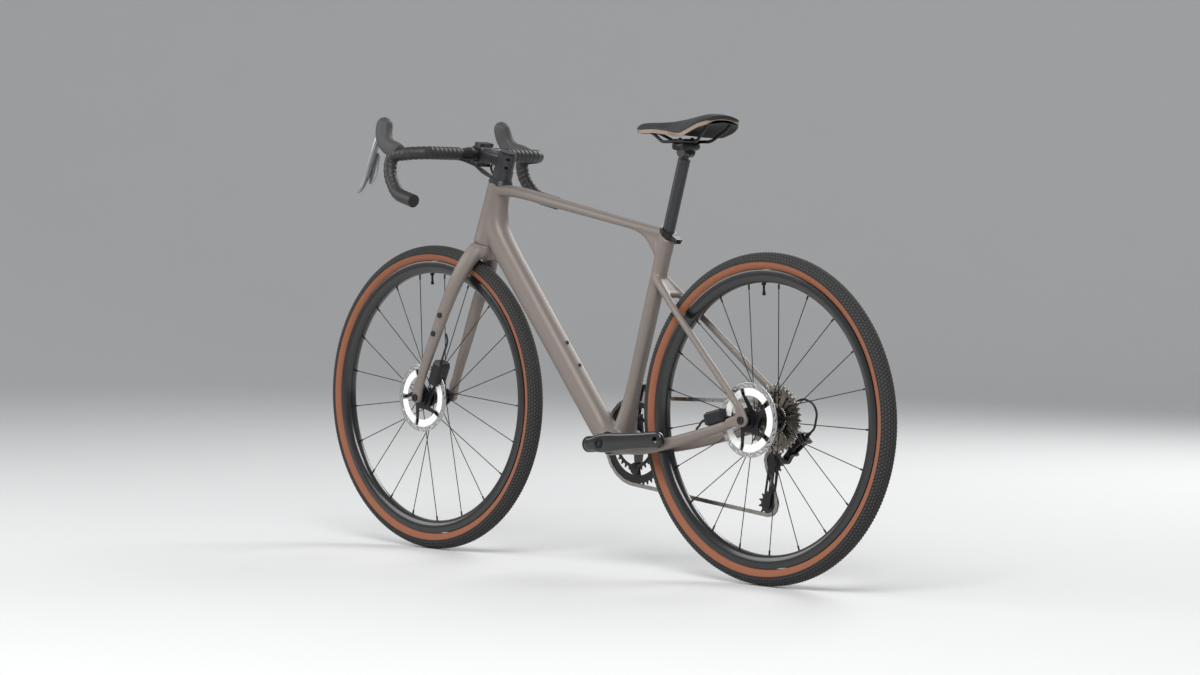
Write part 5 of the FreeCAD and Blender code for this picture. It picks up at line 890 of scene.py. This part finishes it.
def tape_surface():
    """The left wrap: radius = base + ridge, a saw of the distance along and the angle round the bar."""
    path = rounded_path(BAR_LINE, 60, 1.6)
    places = np.append(0, np.cumsum(np.linalg.norm(np.diff(path, axis=0), axis=1)))
    path = path[places > TAPE_START]
    places = places[places > TAPE_START]
    around = 28
    angle = np.linspace(0, 1, around, endpoint=False)
    saw = (places[:, None] / TAPE_PITCH + angle[None, :]) % 1
    ridge = 1.5 * step_between(0, 0.16, saw) * (1 - 0.9 * saw)
    return sweep(path, TAPE_RADIUS + ridge, around)


piece("tape_wrap", both_sides([tape_surface()]), TAPE, "steering", ["bar_tape"])
HOOD = BAR + [74, 200, 0]
PIVOT = HOOD + [68, -6, 34]
hood_rows = [np.append(HOOD + [x, y, z], (w, d)) for x, y, z, w, d in (
    (-12, 1.5, 2, 14, 16.5), (4, 1, 7, 16.2, 18.6), (28, -3, 14, 15.6, 18), (49, -8, 31, 15.8, 19.5),
    (57, -13, 54, 16.2, 19.6), (58, -15.6, 66, 15.6, 18.4), (58, -16.6, 74, 12.8, 15),
    (57.6, -17.2, 79, 8.6, 10), (57.4, -17.4, 81.4, 4, 4.6), (57.3, -17.5, 82, 0.6, 0.7))]
piece("hood_skin", both_sides([tube(hood_rows, 2.7, 48, 36)]), RUBBER, "steering", ["brake_hoods"])
lever_rows = [np.append(PIVOT + [x, y, z], (w, d)) for x, y, z, w, d in (
    (-3, 0, 8, 6, 6), (4, 0.4, -8, 8, 7), (13, 2, -34, 8.6, 5.6), (28, 4, -72, 8, 4.6),
    (40, 7, -104, 6.4, 3.8), (53, 9.6, -122, 4.4, 2.8), (57, 10.4, -126, 2.6, 1.6))]
paddle_rows = [np.append(PIVOT + [x, y, z], (w, d)) for x, y, z, w, d in (
    (6, -7.3, -36, 2.2, 5), (16, -5.8, -66, 1.8, 10), (25, -4.3, -92, 1.8, 10.5), (31, -3.3, -105, 1.4, 4))]
for side in ("left", "right"):
    blade = tube(lever_rows, 2.6, 48, 28)
    paddle = tube(paddle_rows, 3, 28, 24)
    if side == "right":
        blade = mirrored(blade)
        paddle = mirrored(paddle)
    piece(f"lever_blade_{side}", [blade], GREY, f"lever_{side}", [f"brake_lever_{side}"])
    piece(f"paddle_blade_{side}", [paddle], GREY, f"paddle_{side}", [f"shift_paddle_{side}"])

# %% [markdown]
# ## Saddle
# Sections run from nose to tail. Across each one, v goes from -1 to 1: y = half width * v and the top falls
# from crown to edge as |v|^2.4. A shallow channel runs down the middle, and the skin turns under at the rim.
# %% Saddle
NOSE_X = POST_TOP[0] + 141.5
SADDLE_Z = POST_TOP[2] + 69
SADDLE_LENGTH = 250
SADDLE_COLUMNS = 41
SADDLE_ROWS = np.array([
    (0.000, 8, -13, -17), (0.02, 15, -8, -17), (0.08, 20, -5, -17), (0.25, 22.5, -4, -16),
    (0.45, 30, -2, -21), (0.62, 52, 2, -26), (0.75, 69, 7, -27), (0.87, 72, 12, -16), (0.95, 65, 13, -5),
    (1.0, 50, 9, 0)])


def saddle_grid(drop, inset, rim):
    """Points (rows, columns, 3) of the top, lowered by drop in the middle and by rim at the edge."""
    along = np.linspace(0, 1, 70)
    rows = np.stack([np.interp(along, SADDLE_ROWS[:, 0], SADDLE_ROWS[:, k]) for k in range(4)], -1)
    for _ in range(3):
        rows[1:-1] = (rows[:-2] + 2 * rows[1:-1] + rows[2:]) / 4
    v = np.sin(np.linspace(-math.pi / 2, math.pi / 2, SADDLE_COLUMNS))[None, :]
    y = (rows[:, 1:2] - inset) * v
    crown = (rows[:, 2:3] - rows[:, 3:4]) * (1 - np.abs(v) ** 2.4)
    z = rows[:, 3:4] + crown - drop - (rim - drop) * np.abs(v) ** 6
    dip = np.sin(math.pi * np.clip((rows[:, :1] - 0.18) / 0.7, 0, 1))
    z = z - 2.2 * dip * np.exp(-(y / 8) ** 2) * (drop == 0)
    x = NOSE_X - SADDLE_LENGTH * rows[:, :1] + 0 * y
    return np.stack([x, y, z + SADDLE_Z], -1)


def shell_of(top, bottom):
    """A closed surface between a top and a bottom grid, joined round the rim."""
    return closed_loft(np.concatenate([top, bottom[:, ::-1]], 1))


cover = shell_of(saddle_grid(0, 0, 0), saddle_grid(8.6, 1.2, 3))
cushion = piece("saddle_cushion", [cover], SKIN, "saddle", ["saddle_cover"], 60)
# The tray's pale colour is a painted reflection on the saddle's dark base.
tray = shell_of(saddle_grid(8.8, 0.6, 3.1), saddle_grid(10.4, 1.6, 11.4))
piece("saddle_tray", [tray], PALE_BASE_REFLECTION, "saddle", ["saddle_shell"], 60)
underside = shell_of(saddle_grid(10.5, 3, 10.6), saddle_grid(11.6, 3.4, 11.2))
piece("saddle_floor", [underside], PLASTIC, "saddle", sharp=60)


def clamp_surfaces():
    """The saddle clamp: a rounded cradle on the post's head, a plate over the rails and two bolts."""
    rows = ((-23.5, 15, 0.5), (-21, 21, 0.86), (-9, 26.5, 1), (9, 26.5, 1), (21, 21, 0.86), (23.5, 15, 0.5))
    surfaces = []
    for rise, half in ((12.7, 8.8), (25.2, 2.8)):
        jaw = [np.append(POST_TOP + [x, 0, rise], (w, half * share)) for x, w, share in rows]
        surfaces.append(tube(jaw, 3.4))
    for way in (-18, 18):
        spot = POST_TOP + [way, 0, 0]
        surfaces.append(sweep(np.linspace(spot - [0, 0, 7], spot + [0, 0, 28], 3), 2.5, 20))
        surfaces.append(sweep(np.linspace(spot + [0, 0, 28], spot + [0, 0, 31], 3), 4, 24))
        surfaces.append(bar_across(spot - [0, 0, 4], -6, 6, 3.4))
    return surfaces


piece("saddle_cradle_skin", clamp_surfaces(), BLACK, "saddle_cradle", ["saddle_clamp"], 40)

# %% [markdown]
# ## Stage and camera
# A plain pale floor, soft lights and a camera with the place, direction and lens worked out from the
# picture's perspective. Lengths here are metres.
# %% Stage


def make_floor():
    """A pale round floor whose far edge curves up: (r, z) = (8 + 5 sin a, 5 (1 - cos a)), turned about Z."""
    flat, curve, around = 8, 5, 96
    bend = np.radians(np.linspace(0, 80, 17))
    radius = np.concatenate([[0, flat / 2, flat], flat + curve * np.sin(bend[1:])])
    height = np.concatenate([[0, 0, 0], curve * (1 - np.cos(bend[1:]))])
    turn = np.linspace(0, 2 * math.pi, around, endpoint=False)[:, None]
    level = np.broadcast_to(height, (around, len(height)))
    points = np.stack([radius * np.cos(turn), radius * np.sin(turn), level], -1)
    mesh = bpy.data.meshes.new("floor")
    mesh.from_pydata(points.reshape(-1, 3).tolist(), [], grid_faces(around, len(height), True, False))
    mesh.shade_smooth()
    made = bpy.data.objects.new("floor", mesh)
    bpy.context.scene.collection.objects.link(made)
    mesh.materials.append(material("floor", colour(214, 214, 214), 0.8, scale=3, amount=0.02))


def area_light(name, place, target, width, power):
    """A square soft light that faces a target."""
    lamp = bpy.data.lights.new(name, "AREA")
    lamp.size = width
    lamp.energy = power
    made = bpy.data.objects.new(name, lamp)
    bpy.context.scene.collection.objects.link(made)
    made.location = place
    made.rotation_mode = "QUATERNION"
    made.rotation_quaternion = (Vector(target) - Vector(place)).to_track_quat("-Z", "Y")


def make_camera():
    """A camera from its place, yaw, pitch, roll and lens."""
    yaw, pitch, roll = (math.radians(v) for v in (-45.02, -1.97, 0.69))
    ahead = Vector((math.cos(pitch) * math.cos(yaw), math.cos(pitch) * math.sin(yaw), math.sin(pitch)))
    right = ahead.cross(Vector((0, 0, 1))).normalized()
    up = right.cross(ahead)
    turned_right = right * math.cos(roll) + up * math.sin(roll)
    turned_up = up * math.cos(roll) - right * math.sin(roll)
    data = bpy.data.cameras.new("camera")
    data.lens = 102.3
    data.sensor_width = 36
    made = bpy.data.objects.new("camera", data)
    bpy.context.scene.collection.objects.link(made)
    axes = Matrix((turned_right, turned_up, -ahead)).transposed().to_4x4()
    made.matrix_world = Matrix.Translation((-5.383, 5.366, 0.773)) @ axes
    data.clip_end = 100
    bpy.context.scene.camera = made


make_floor()
area_light("key", (-2.5, 3.5, 4.2), (0, 0, 0.5), 3.0, 260)
area_light("fill", (3.5, 3.0, 2.5), (0, 0, 0.5), 3.0, 90)
area_light("back", (0.5, -4.5, 3.5), (0, 0, 0.6), 3.0, 160)
world = bpy.data.worlds.new("studio")
world.use_nodes = True
world.node_tree.nodes["Background"].inputs["Color"].default_value = colour(226, 228, 230)
world.node_tree.nodes["Background"].inputs["Strength"].default_value = 0.55
bpy.context.scene.world = world
bpy.context.scene.view_settings.view_transform = "Standard"
make_camera()
